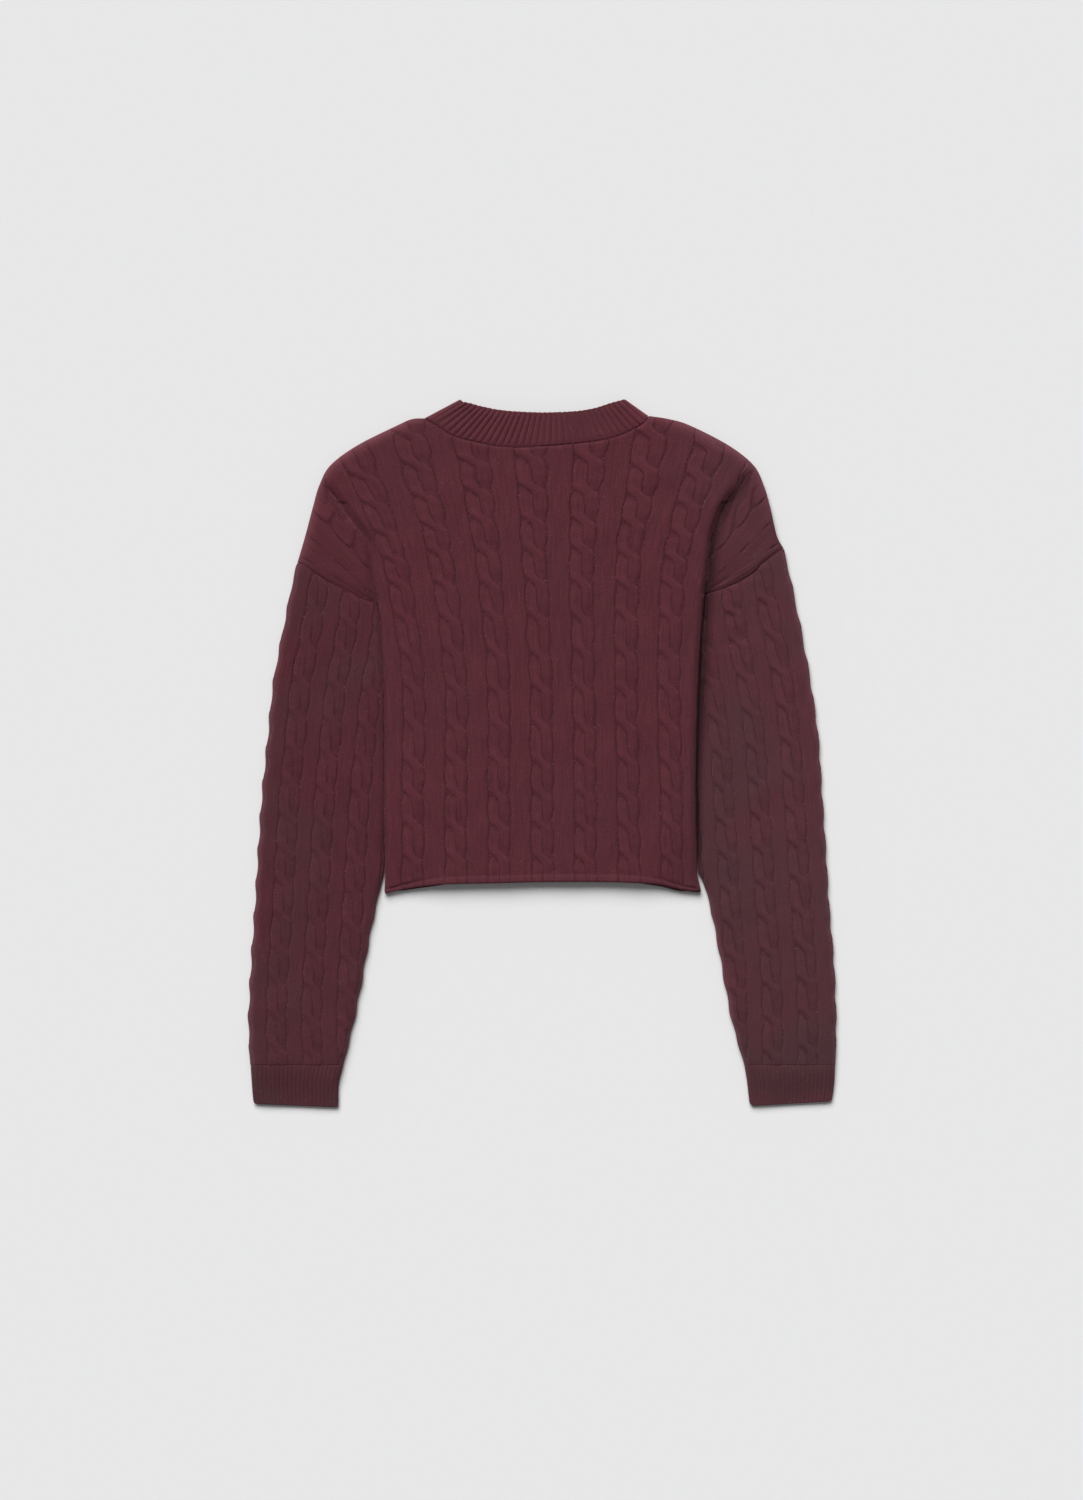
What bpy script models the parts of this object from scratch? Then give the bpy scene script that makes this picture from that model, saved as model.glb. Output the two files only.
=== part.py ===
"""Cropped cable-knit sweater, laid flat with its back up.

Seven knitted pieces: back, front, two sleeves, two ribbed cuffs and a ribbed
neckband. The front lies on the table and the back lies on the front. Every
sleeve, cuff and neckband is a hollow tube pressed flat. The cables and ribs
stand up from the outer side of each wall, and the inner side is plain.

The tables and sizes are in millimetres and solid() turns them into metres.
+Y points to the neck, +Z up, and the origin is on the table under the centre.
"""
import math
from collections import namedtuple

import bmesh
import bpy
from mathutils import Vector
from mathutils.geometry import delaunay_2d_cdt

MM = 0.001

# Walls and the heights at which they lie.
WALL = 3.0                 # knitted wall without its cables
CUFF_WALL = 2.6
SEAM_GAP = 0.3             # between two pieces that are sewn together
SEAM_SLACK = 0.2           # added where two curved edges are stepped differently
SIDE_GAP = 0.6             # between the body and the sleeve beside it
BODY_TOP = 9.6             # outer side of the back over the body, without relief
WING_TOP = 8.2             # the same over the dropped shoulders
SLEEVE_TOP = 7.4
CUFF_TOP = 6.8
NECK_TOP = 9.2
VALLEY_TOP = 5.6           # floor of the fold between the body and a dropped shoulder
TURN_TOP = 5.3             # where the outer side starts to turn under at an edge
TURN_MIDDLE = 4.2          # widest point of a turned edge of the back
TUBE_MIDDLE = 3.4          # widest point of a flattened tube
HOLLOW = 0.15              # least half height of the gap inside a flattened tube
UNDER_BACK = WALL + SEAM_GAP
BODY_ROUND = 6.0           # how far in from a side fold the body reaches its height
WING_ROUND = 7.0           # the same on the dropped shoulder beside it
OUTLINE_ROUND = 8.0        # and along the shoulders
CUFF_ROUND = 7.0
NECK_ROUND = 10.0
SLEEVE_ROUND = 9.0
SLEEVE_SOFT_ROUND = 13.0   # the right sleeve slopes away beside the body
TURN_HIGH_INSET = 0.9      # upper and lower corners of a turned edge, in from the widest point
TURN_LOW_INSET = 2.4
SEAM_INSET = 0.2           # corners of a sewn edge, in from its middle

# Knitted relief.
CABLE_RISE = 2.7
RIB_RISE = 1.5
DIP_SHARE = 0.3            # height left in the dip between two crossings
SEAM_RISE = 1.5            # ridge along each armhole seam
CROSSING_SHEAR = 10.0      # how far a crossing drops from its middle to its right side
SLEEVE_FIRST = 27.1        # outer edge of a sleeve to its first cable
SLEEVE_REPEAT = 32.4
SLEEVE_CABLE = 9.6         # half the width of a sleeve cable
SLEEVE_CABLES = 3
SLEEVE_CROSSINGS = 14.5    # cable crossings from the armhole to the cuff
SLEEVE_STEPS = 4           # rows of points to a crossing
SLEEVE_SCALLOP = 1.0       # waves that the cables leave along a sleeve's outer edge
SLEEVE_LENGTH = 440.0
SLEEVE_WIDEST = 112.0
SLEEVE_TURN = 15.0         # its last columns crowd into this width beside the body
SLEEVE_FADE = 10.0         # and lose their relief over this width
SLEEVE_EDGE = 1.6          # first column in from the outer edge
SLEEVE_RIB_SLOPE = 3.2     # a groove's bottom to the flat of the rib beside it
CUFF_RIBS = 21
CUFF_RIB_RISE = 1.2
NECK_RIBS = 34
NECK_RIB_RISE = 1.4
GROOVE_SHARE = 0.17        # how far a groove between ribs lies below the wall, of a rib's rise
EDGE_THIN = 0.75           # ribbing thins towards its free edge

# Rolled lower edge of the back.
HEM_BEAD = 7.6             # width of the roll
HEM_BEAD_RISE = 0.9
HEM_GROOVE = 1.3           # depth of the line above the roll
HEM_GROOVE_WIDTH = 3.0
HEM_SAG = 6.5              # how much lower its corners lie than its middle, in plan
HEM_MIDDLE = -120.0
HEM_CORNER = HEM_MIDDLE - HEM_SAG
HEM_INNER = 5.6            # underside of the roll in its middle; it touches the front at its ends
HEM_WALL = 2.4
HEM_INSET = 0.8
HALF_BODY = 146.0

Edge = namedtuple("Edge", "y left right")
Place = namedtuple("Place", "x y")
Columns = namedtuple("Columns", "y middle pitch cable")
Course = namedtuple("Course", "number y")
Band = namedtuple("Band", "seam_x seam_y edge_x edge_y")
Cuff = namedtuple("Cuff", "y outer inner")

# Outer outline, from the shoulder beside the neckband down to the cuffs.
SHOULDER = (
    Edge(302.5, -133.4, 136.2),
    Edge(284.1, -170.2, 172.0),
    Edge(265.7, -195.0, 195.0),
    Edge(247.3, -205.2, 204.2),
    Edge(228.9, -210.7, 209.8),
    Edge(201.3, -218.0, 216.2),
)
SLEEVE_OUTER = (
    Edge(189.0, -221.5, 222.6),
    Edge(176.0, -225.4, 225.0),
    Edge(136.9, -233.7, 233.7),
    Edge(100.1, -241.0, 241.0),
    Edge(63.3, -247.5, 247.5),
    Edge(17.3, -252.1, 253.9),
    Edge(-37.9, -257.6, 257.6),
    Edge(-93.1, -261.3, 261.3),
    Edge(-139.1, -264.0, 264.0),
    Edge(-194.3, -267.7, 268.6),
    Edge(-249.5, -270.0, 270.5),
    Edge(-286.3, -268.4, 269.8),
)
SLEEVE_INNER = (
    Edge(-110.0, -145.4, 144.2),
    Edge(-120.7, -148.1, 149.0),
    Edge(-139.1, -152.7, 154.6),
    Edge(-157.5, -156.4, 158.2),
    Edge(-175.9, -160.1, 161.9),
    Edge(-212.7, -166.5, 168.4),
    Edge(-249.5, -173.9, 175.7),
    Edge(-286.3, -183.1, 186.3),
)
# Where the sides of the body fold under, from the hem up to the shoulder.
# Above the armholes the line is the floor of the fold beside the dropped shoulder.
SIDE_FOLD = (
    Edge(HEM_CORNER, -144.9, 146.7),
    Edge(-110.0, -144.5, 143.0),
    Edge(-75.6, -144.4, 142.0),
    Edge(-15.8, -144.4, 141.2),
    Edge(55.0, -144.9, 143.1),
    Edge(90.9, -146.3, 144.6),
    Edge(137.8, -150.0, 148.0),
    Edge(165.4, -155.5, 151.9),
    Edge(187.5, -157.3, 154.1),
    Edge(201.3, -162.8, 156.5),
    Edge(219.7, -176.6, 162.8),
    Edge(232.6, -184.9, 169.3),
    Edge(247.0, -196.8, 178.6),
    Edge(256.0, -203.6, 184.0),
    Edge(268.0, -212.0, 191.5),
)
FOLD_END = {"left": 255.0, "right": 268.0}   # where it meets the shoulder outline
FOLD_FADE = (232.0, 264.0)   # the fold beside the dropped shoulder runs out between these

LEFT_ARMHOLE = (
    Place(-225.4, 176.0),
    Place(-219.0, 173.7),
    Place(-204.4, 162.7),
    Place(-187.8, 153.5),
    Place(-173.6, 146.1),
    Place(-160.1, 140.6),
    Place(-150.3, 137.4),
)
RIGHT_ARMHOLE = (
    Place(222.7, 189.0),
    Place(218.5, 186.4),
    Place(204.2, 175.8),
    Place(194.8, 166.3),
    Place(178.2, 156.2),
    Place(161.6, 150.2),
    Place(149.2, 147.9),
)
# Neckband from its left corner to its right one: its seam and its free edge.
NECK_BACK = (
    Band(-108.1, 306.6, -75.9, 326.4),
    Band(-97.5, 303.4, -74.7, 325.3),
    Band(-89.2, 297.4, -72.9, 323.8),
    Band(-80.0, 292.4, -66.2, 321.4),
    Band(-65.3, 288.2, -54.3, 317.5),
    Band(-38.6, 283.6, -34.0, 314.2),
    Band(-1.8, 283.2, -0.9, 313.4),
    Band(32.2, 285.9, 30.4, 314.0),
    Band(53.4, 288.7, 48.8, 316.8),
    Band(71.8, 293.8, 62.6, 321.4),
    Band(84.6, 299.3, 70.8, 324.6),
    Band(92.9, 304.3, 74.5, 325.7),
    Band(98.4, 310.3, 76.8, 326.4),
)
NECK_FRONT = (
    Band(-108.1, 306.6, -75.9, 326.4),
    Band(-97.0, 289.0, -69.0, 309.0),
    Band(-74.0, 263.0, -54.0, 288.0),
    Band(-40.0, 247.0, -29.0, 275.0),
    Band(-3.0, 243.0, -1.0, 272.0),
    Band(35.0, 247.0, 26.0, 275.0),
    Band(68.0, 264.0, 51.0, 288.0),
    Band(89.0, 290.0, 68.0, 309.0),
    Band(98.4, 310.3, 76.8, 326.4),
)
LEFT_CUFF = (
    Cuff(-286.3, -268.4, -183.1),
    Cuff(-304.7, -267.3, -187.2),
    Cuff(-326.8, -265.4, -187.7),
)
RIGHT_CUFF = (
    Cuff(-286.3, 269.8, 186.3),
    Cuff(-304.7, 269.2, 189.1),
    Cuff(-326.8, 266.8, 191.4),
)
# Cables of the back: the middle one, their spacing, and half a cable as a share of it.
BACK_COLUMNS = (
    Columns(-120.7, 0.5, 39.8, 0.26),
    Columns(-24.1, 0.0, 39.6, 0.265),
    Columns(67.9, -0.9, 39.2, 0.27),
    Columns(182.9, -6.8, 43.5, 0.27),
    Columns(273.1, -10.1, 53.5, 0.29),
)
# Heights of some crossings of the middle cable, counted down from the neck.
BACK_COURSES = (
    Course(0.0, 272.6),
    Course(4.0, 158.1),
    Course(7.0, 59.6),
    Course(9.0, -6.6),
    Course(12.0, -95.4),
)
COURSE_BOW = 23.0            # how far the crossings drop at the shoulders
BOW_RANGE = (120.0, 270.0)   # where the drop begins and where it is full
SIDE_COLUMN = 3.5            # column at which the drop is measured
BACK_ROWS = (-0.22, 0.22, 0.5)
CABLE_COLUMNS = 4            # on each side of the middle one
FIRST_COURSE = -2
LAST_COURSE = 14

# Dropped shoulder: lines across it, from the armhole seam (0) to the fold (1).
Wale = namedtuple("Wale", "share lift cable")
WING_WALES = (
    Wale(0.08, 0.0, False),
    Wale(0.12, RIB_RISE, False),
    Wale(0.29, RIB_RISE, False),
    Wale(0.34, 0.0, False),
    Wale(0.39, RIB_RISE, False),
    Wale(0.62, RIB_RISE, False),
    Wale(0.67, 0.0, False),
    Wale(0.73, CABLE_RISE, True),
    Wale(0.84, CABLE_RISE, True),
    Wale(0.93, CABLE_RISE, True),
)
WING_FAN = 3.2               # how the lines crowd towards the armhole at the fold
WING_TOP_SHARE = {"left": 0.42, "right": 0.44}   # of the shoulder outline, up to the fold's end
WING_ROWS = 9
WING_CROSSINGS = 3.0

FRONT_INSET = 0.8            # the front lies this far inside the back's outline
FRONT_DROOP = 2.6            # and its lower edge shows this much below the back's middle
FRONT_STEPS = 18

EDGE_STEP = 7.5              # spacing of points along the outline of a panel
SEAM_STEP = 5.0              # and along its seams with other pieces
# First line of points inside the outline of the back, and its lift, by kind of edge.
FIRST_INSET = {"turned": 3.4, "hem": 3.8, "seam": 2.6}
FIRST_LIFT = {"turned": 0.8, "hem": 0.0, "seam": SEAM_RISE}
CLEAR_OF_EDGE = 6.4          # how far knit points stay inside the outline
CLEAR_OF_FOLD = 8.5          # and from a side fold
WING_CLEAR_OF_EDGE = 4.9
WING_CLEAR_OF_FOLD = 6.5
FOLD_SHOULDERS = ((-4.0, 1.0), (4.0, 0.7))   # reach and lift of the lines beside a fold's floor
FOLD_STEPS = 14
COARSE_STEP = 38.0           # grid of points on the plain inner side of the back
SLEEVE_INNER_ACROSS = (0.035, 0.12, 0.27, 0.42, 0.58, 0.73, 0.88, 0.965)
SLEEVE_INNER_STEPS = 12
NECK_INNER_ACROSS = (0.02, 0.045, 0.07, 0.1, 0.15, 0.2, 0.3, 0.4, 0.5,
                     0.6, 0.7, 0.8, 0.87, 0.92, 0.95, 0.98)
CREASE = math.radians(20.0)
WINE = (0.0887, 0.0284, 0.0356, 1.0)


def mix(start, end, share):
    return start + (end - start) * share


def ease(value, start=0.0, end=1.0):
    """0 before start, 1 after end, and smooth between."""
    share = min(max((value - start) / (end - start), 0.0), 1.0)
    return share * share * (3.0 - 2.0 * share)


def round_over(distance, radius):
    """0 at an edge and 1 a radius inside it, along a quarter of a circle."""
    share = min(max(distance / radius, 0.0), 1.0)
    return math.sqrt(1.0 - (1.0 - share) ** 2)


def read_table(table, key, value, column):
    """Smooth value of a column where the key column has this value."""
    rows = sorted(table, key=lambda row: getattr(row, key))
    keys = [getattr(row, key) for row in rows]
    values = [getattr(row, column) for row in rows]
    last = len(rows) - 1
    place = 0
    while place < last - 1 and value > keys[place + 1]:
        place += 1
    width = keys[place + 1] - keys[place]
    share = (value - keys[place]) / width
    slope = (values[place + 1] - values[place]) / width
    if share < 0.0 or share > 1.0:
        return values[place] + slope * (value - keys[place])
    before = slope
    after = slope
    if place > 0:
        before = (values[place + 1] - values[place - 1]) / (keys[place + 1] - keys[place - 1])
    if place < last - 1:
        after = (values[place + 2] - values[place]) / (keys[place + 2] - keys[place])
    square = share * share
    cube = square * share
    return ((2 * cube - 3 * square + 1) * values[place]
            + (cube - 2 * square + share) * width * before
            + (3 * square - 2 * cube) * values[place + 1]
            + (cube - square) * width * after)


class Path:
    """A smooth line in plan through a few places, held as short steps."""

    STEPS = 8

    def __init__(self, places):
        places = [Vector((x, y)) for x, y in places]
        self.points = []
        for number in range(len(places) - 1):
            before = places[max(number - 1, 0)]
            start = places[number]
            end = places[number + 1]
            after = places[min(number + 2, len(places) - 1)]
            for step in range(self.STEPS):
                share = step / self.STEPS
                square = share * share
                cube = square * share
                self.points.append(0.5 * (2 * start + (end - before) * share
                                          + (2 * before - 5 * start + 4 * end - after) * square
                                          + (3 * start - before - 3 * end + after) * cube))
        self.points.append(places[-1])
        self.lengths = [0.0]
        for start, end in zip(self.points, self.points[1:]):
            self.lengths.append(self.lengths[-1] + (end - start).length)

    def at(self, share):
        """Point at a share of the line's length."""
        target = min(max(share, 0.0), 1.0) * self.lengths[-1]
        place = 0
        while place < len(self.points) - 2 and self.lengths[place + 1] < target:
            place += 1
        step = self.lengths[place + 1] - self.lengths[place]
        return self.points[place].lerp(self.points[place + 1], (target - self.lengths[place]) / step)

    def spaced(self, step):
        count = max(round(self.lengths[-1] / step), 1)
        return [self.at(number / count) for number in range(count + 1)]

    def beside(self, share, gap, up):
        """Point at a share of the length, moved square to the line, towards +Y or -Y."""
        along = self.at(share + 0.02) - self.at(share - 0.02)
        square = Vector((-along.y, along.x)).normalized() * gap
        return self.at(share) + (square if square.y * up > 0.0 else -square)

    def distance(self, point):
        nearest = math.inf
        for start, end in zip(self.points, self.points[1:]):
            along = end - start
            share = min(max((point - start).dot(along) / along.length_squared, 0.0), 1.0)
            nearest = min(nearest, (start + along * share - point).length_squared)
        return math.sqrt(nearest)


def fold_x(side, y):
    return read_table(SIDE_FOLD, "y", y, side)


def hem_y(x):
    """Height in plan of the lower edge, arched up in its middle."""
    return HEM_MIDDLE - HEM_SAG * (abs(x) / HALF_BODY) ** 3


def side_path(side):
    """Fold along one side of the body, from the hem up to the shoulder."""
    rows = sorted(SIDE_FOLD)
    return Path([(getattr(row, side), row.y) for row in rows])


ARMHOLE = {"left": LEFT_ARMHOLE, "right": RIGHT_ARMHOLE}
SIGN = {"left": -1.0, "right": 1.0}
ARMHOLE_PATH = {side: Path(ARMHOLE[side]) for side in ARMHOLE}
FOLD_PATH = {side: side_path(side) for side in ARMHOLE}


def shoulder_path(side):
    """Outline of the back from the neckband's corner down to the armhole seam."""
    corner = NECK_BACK[0] if side == "left" else NECK_BACK[-1]
    places = [(corner.seam_x, corner.seam_y)]
    places += [(getattr(row, side), row.y) for row in SHOULDER]
    places.append(ARMHOLE[side][0])
    return Path(places)


SHOULDER_PATH = {side: shoulder_path(side) for side in ARMHOLE}
NECK_SEAM = Path([(row.seam_x, row.seam_y) for row in NECK_BACK])
FRONT_NECK_SEAM = Path([(row.seam_x, row.seam_y) for row in NECK_FRONT])


class Shell:
    """Points and triangles of one closed wall."""

    def __init__(self):
        self.points = []
        self.faces = []

    def add(self, x, y, z):
        self.points.append((x, y, z))
        return len(self.points) - 1

    def band(self, first, second, closed=True):
        """Triangles between two lines with the same number of points."""
        count = len(first)
        for number in range(count if closed else count - 1):
            after = (number + 1) % count
            self.faces.append((first[number], first[after], second[after]))
            self.faces.append((first[number], second[after], second[number]))

    def rim(self, first, first_shares, second, second_shares):
        """Triangles between two loops whose points lie at these shares of a turn."""
        a = 0
        b = 0
        while a < len(first) or b < len(second):
            next_a = first_shares[a + 1] if a + 1 < len(first) else 2.0 + first_shares[0]
            next_b = second_shares[b + 1] if b + 1 < len(second) else 2.0 + second_shares[0]
            here_a = first[a % len(first)]
            here_b = second[b % len(second)]
            if b >= len(second) or (a < len(first) and next_a <= next_b):
                self.faces.append((here_a, first[(a + 1) % len(first)], here_b))
                a += 1
            else:
                self.faces.append((here_a, second[(b + 1) % len(second)], here_b))
                b += 1

    def sheet(self, ring, inner, lines, height):
        """Fill a ring, seen from above, through inner places and along lines of them.

        Inner places are (x, y) pairs, lines hold pairs of their numbers, and
        height gives the z of an inner place from its number, or of a new one.
        """
        places = [Vector(self.points[index][:2]) for index in ring]
        places += [Vector(place) for place in inner]
        kept = [(start + len(ring), end + len(ring)) for start, end in lines]
        result = delaunay_2d_cdt(places, kept, [list(range(len(ring)))], 1, 1e-5, True)
        corners, _, faces, sources, _, owners = result
        numbers = []
        for corner, source in zip(corners, sources):
            on_ring = [index for index in source if index < len(ring)]
            inside = [index - len(ring) for index in source if index >= len(ring)]
            if on_ring:
                numbers.append(ring[on_ring[0]])
            else:
                number = inside[0] if inside else None
                numbers.append(self.add(corner.x, corner.y, height(corner, number)))
        for face, owner in zip(faces, owners):
            if owner:
                self.faces.append(tuple(numbers[index] for index in face))


def solid(name, shell, roughness=0.9):
    """One closed object, in metres, with its own material."""
    mesh = bpy.data.meshes.new(name)
    mesh.from_pydata([Vector(point) * MM for point in shell.points], [], shell.faces)
    model = bmesh.new()
    model.from_mesh(mesh)
    bmesh.ops.recalc_face_normals(model, faces=model.faces)
    model.to_mesh(mesh)
    model.free()
    mesh.shade_smooth()
    mesh.set_sharp_from_angle(angle=CREASE)
    piece = bpy.data.objects.new(name, mesh)
    bpy.context.scene.collection.objects.link(piece)
    material = bpy.data.materials.new(name + "_knit")
    material.use_nodes = True
    finish = material.node_tree.nodes["Principled BSDF"]
    finish.inputs["Base Color"].default_value = WINE
    finish.inputs["Roughness"].default_value = roughness
    finish.inputs["Metallic"].default_value = 0.0
    mesh.materials.append(material)
    return piece


def inward(ring, number):
    """Direction in plan from a ring's point to its inside; the ring runs anticlockwise."""
    before = (ring[number] - ring[number - 1]).normalized()
    after = (ring[(number + 1) % len(ring)] - ring[number]).normalized()
    along = (before + after).normalized()
    return Vector((-along.y, along.x))


def nearest_side(point):
    return "left" if point.x < 0.0 else "right"


def on_body(point):
    """True between the two side folds, False on a dropped shoulder."""
    side = nearest_side(point)
    return abs(point.x) < abs(fold_x(side, point.y))


def back_base(point):
    """Outer height of the back without its relief."""
    side = nearest_side(point)
    fold = FOLD_PATH[side].distance(point)
    faded = ease(point.y, *FOLD_FADE)
    seam_height = ARMHOLE[side][-1].y
    floor = mix(TURN_TOP, VALLEY_TOP, ease(point.y, seam_height - 12.0, seam_height + 4.0))
    floor = mix(floor, BODY_TOP, faded)
    if on_body(point):
        height = mix(floor, BODY_TOP, round_over(fold, BODY_ROUND))
    else:
        height = mix(floor, mix(WING_TOP, BODY_TOP, faded), ease(fold, 0.0, WING_ROUND))
    outline = SHOULDER_PATH[side].distance(point)
    return mix(TURN_TOP, height, round_over(outline, OUTLINE_ROUND))


def hem_profile(point):
    """Change in height over the rolled lower edge of the back."""
    above = point.y - hem_y(point.x)
    roll = math.sin(math.pi * min(max(above / HEM_BEAD, 0.0), 1.0))
    groove = 1.0 - ease(abs(above - HEM_BEAD), 0.0, HEM_GROOVE_WIDTH)
    return HEM_BEAD_RISE * roll - HEM_GROOVE * groove


def crossing_wave(course):
    """1 where strands cross over and 0 in the dip between two crossings."""
    return abs(math.cos(math.pi * course)) ** 0.6


def cable_columns(half):
    """Offsets from a cable's middle to its points, with their relief and shear."""
    rib = half + 0.38 * (0.5 - half)
    return (
        (-half, 0.0, 1.0),
        (-0.5 * half, CABLE_RISE, 0.5),
        (0.5 * half, CABLE_RISE, -0.5),
        (half, 0.0, -1.0),
        (rib, RIB_RISE, -0.62),
        (1.0 - rib, RIB_RISE, 0.62),
    )


def back_ring():
    """Outline of the back, anticlockwise, each place with the kind of its edge."""
    ring = []

    def run(points, kind):
        for point in points[:-1]:
            ring.append((point, kind))

    right_hem = fold_x("right", HEM_CORNER)
    left_hem = fold_x("left", HEM_CORNER)
    count = round((right_hem - left_hem) / EDGE_STEP)
    hem = [mix(left_hem, right_hem, number / count) for number in range(count + 1)]
    run([Vector((x, hem_y(x))) for x in hem], "hem")
    for side in ("right", "left"):
        top = ARMHOLE[side][-1].y
        start = hem_y(fold_x(side, HEM_CORNER))
        steps = round((top - start) / EDGE_STEP)
        rise = [mix(start, top, number / steps) for number in range(steps + 1)]
        sides = [Vector((fold_x(side, y), y)) for y in rise]
        sides[-1] = Vector(ARMHOLE[side][-1])
        seam = list(reversed(ARMHOLE_PATH[side].spaced(SEAM_STEP)))
        shoulder = list(reversed(SHOULDER_PATH[side].spaced(EDGE_STEP)))
        neck = list(reversed(NECK_SEAM.spaced(SEAM_STEP)))
        if side == "right":
            run(sides, "turned")
            run(seam, "seam")
            run(shoulder, "turned")
            run(neck, "seam")
        else:
            run(list(reversed(shoulder)), "turned")
            run(list(reversed(seam)), "seam")
            run(list(reversed(sides)), "turned")
    return ring


def inset_rows(ring, kinds, distance, lift):
    """Lines of places inside the outline, kept where each edge allows them."""
    rows = []
    row = []
    for number, kind in enumerate(kinds):
        point = ring[number] + inward(ring, number) * distance[kind]
        if kinds[number - 1] != kind:
            rows.append(row)
            row = []
            continue
        row.append((point, lift[kind]))
    rows.append(row)
    return [row for row in rows if len(row) > 1]


def clear_of_edges(point, ring, gap):
    """True where a place lies inside a ring and no nearer than a gap to it."""
    inside = False
    for number, end in enumerate(ring):
        start = ring[number - 1]
        along = end - start
        share = min(max((point - start).dot(along) / along.length_squared, 0.0), 1.0)
        if (start + along * share - point).length < gap:
            return False
        if (start.y > point.y) != (end.y > point.y):
            if point.x < start.x + (point.y - start.y) / (end.y - start.y) * along.x:
                inside = not inside
    return inside


def body_net(ring):
    """Points of the cabled body: a net of (place, lift) by course and column."""
    net = {}
    row = 0
    for course in range(FIRST_COURSE, LAST_COURSE):
        for offset in BACK_ROWS:
            number = course + offset
            level = read_table(BACK_COURSES, "number", number, "y")
            half = read_table(BACK_COLUMNS, "y", level, "cable")
            column = 0
            for cable in range(-CABLE_COLUMNS, CABLE_COLUMNS + 1):
                for across, lift, shear in cable_columns(half):
                    bow = COURSE_BOW * ease(level, *BOW_RANGE)
                    bow *= (abs(cable + across) / SIDE_COLUMN) ** 2
                    y = level - bow + CROSSING_SHEAR * shear
                    middle = read_table(BACK_COLUMNS, "y", y, "middle")
                    pitch = read_table(BACK_COLUMNS, "y", y, "pitch")
                    point = Vector((middle + pitch * (cable + across), y))
                    if lift == CABLE_RISE:
                        lift = CABLE_RISE * (DIP_SHARE + (1.0 - DIP_SHARE) * crossing_wave(number))
                    keep = clear_of_edges(point, ring, CLEAR_OF_EDGE) and on_body(point)
                    fold = FOLD_PATH[nearest_side(point)]
                    keep = keep and fold.distance(point) > CLEAR_OF_FOLD
                    if keep:
                        net[row, column] = (point, lift)
                    column += 1
            row += 1
    return net


def wing_net(side, ring):
    """Points of one dropped shoulder, whose columns run along its armhole seam."""
    levels = [mix(ARMHOLE[side][-1].y, FOLD_END[side], number / FOLD_STEPS)
              for number in range(FOLD_STEPS + 1)]
    fold = Path([(fold_x(side, y), y) for y in levels])
    outline = SHOULDER_PATH[side]
    top = WING_TOP_SHARE[side]
    net = {}
    for column, wale in enumerate(WING_WALES):
        for row in range(WING_ROWS + 1):
            along = row / WING_ROWS
            outer = outline.at(1.0 - top * wale.share)
            inner = fold.at(wale.share ** WING_FAN)
            point = outer.lerp(inner, along)
            lift = wale.lift
            if wale.cable:
                lift *= DIP_SHARE + (1.0 - DIP_SHARE) * crossing_wave(along * WING_CROSSINGS)
            keep = clear_of_edges(point, ring, WING_CLEAR_OF_EDGE) and not on_body(point)
            if keep and FOLD_PATH[side].distance(point) > WING_CLEAR_OF_FOLD:
                net[row, column] = (point, lift)
    return net


def add_net(net, inner, lines):
    """Put a net's points and lines into a panel, without points that stand alone."""
    net = {(row, column): entry for (row, column), entry in net.items()
           if (row - 1, column) in net or (row + 1, column) in net}
    numbers = {}
    for key, entry in net.items():
        numbers[key] = len(inner)
        inner.append(entry)
    for row, column in net:
        for other in ((row, column + 1), (row + 1, column)):
            if other in numbers:
                lines.append((numbers[row, column], numbers[other]))


def add_row(row, inner, lines):
    start = len(inner)
    inner += row
    lines += [(number, number + 1) for number in range(start, len(inner) - 1)]


def fold_rows():
    """Lines of places along the fold beside each dropped shoulder."""
    rows = []
    for side in ("left", "right"):
        start = ARMHOLE[side][-1].y + SEAM_STEP
        levels = [mix(start, FOLD_END[side], number / FOLD_STEPS)
                  for number in range(FOLD_STEPS + 1)]
        floor = [Vector((fold_x(side, y), y)) for y in levels]
        rows.append([(point, 0.0) for point in floor])
        for reach, lift in FOLD_SHOULDERS:
            shift = Vector((reach * SIGN[side], 0.0))
            rows.append([(point + shift, lift) for point in floor[:-2]])
    return rows


def edge_section(point, inside, kind):
    """Upper and lower corner of the back's edge as (place, height), and its waist's height."""
    if kind == "turned":
        high = (point + inside * TURN_HIGH_INSET, TURN_TOP)
        low = (point + inside * TURN_LOW_INSET, UNDER_BACK)
        return high, low, TURN_MIDDLE
    if kind == "hem":
        lifted = 1.0 - (abs(point.x) / HALF_BODY) ** 4
        base = mix(UNDER_BACK, HEM_INNER, lifted)
        place = point + inside * HEM_INSET
        return (place, base + HEM_WALL), (place, base), base + 0.5 * HEM_WALL
    place = point + inside * SEAM_INSET
    top = back_base(point + inside * FIRST_INSET["seam"])
    bottom = max(top - WALL, UNDER_BACK)
    return (place, top), (place, bottom), 0.5 * (top + bottom)


def coarse_grid(ring):
    """Wide grid of places for the plain inner side."""
    places = []
    reach = range(-6, 9)
    for column in reach:
        for row in reach:
            point = Vector((column, row)) * COARSE_STEP
            if clear_of_edges(point, ring, 2.0 * EDGE_STEP):
                places.append(point)
    return places


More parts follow.
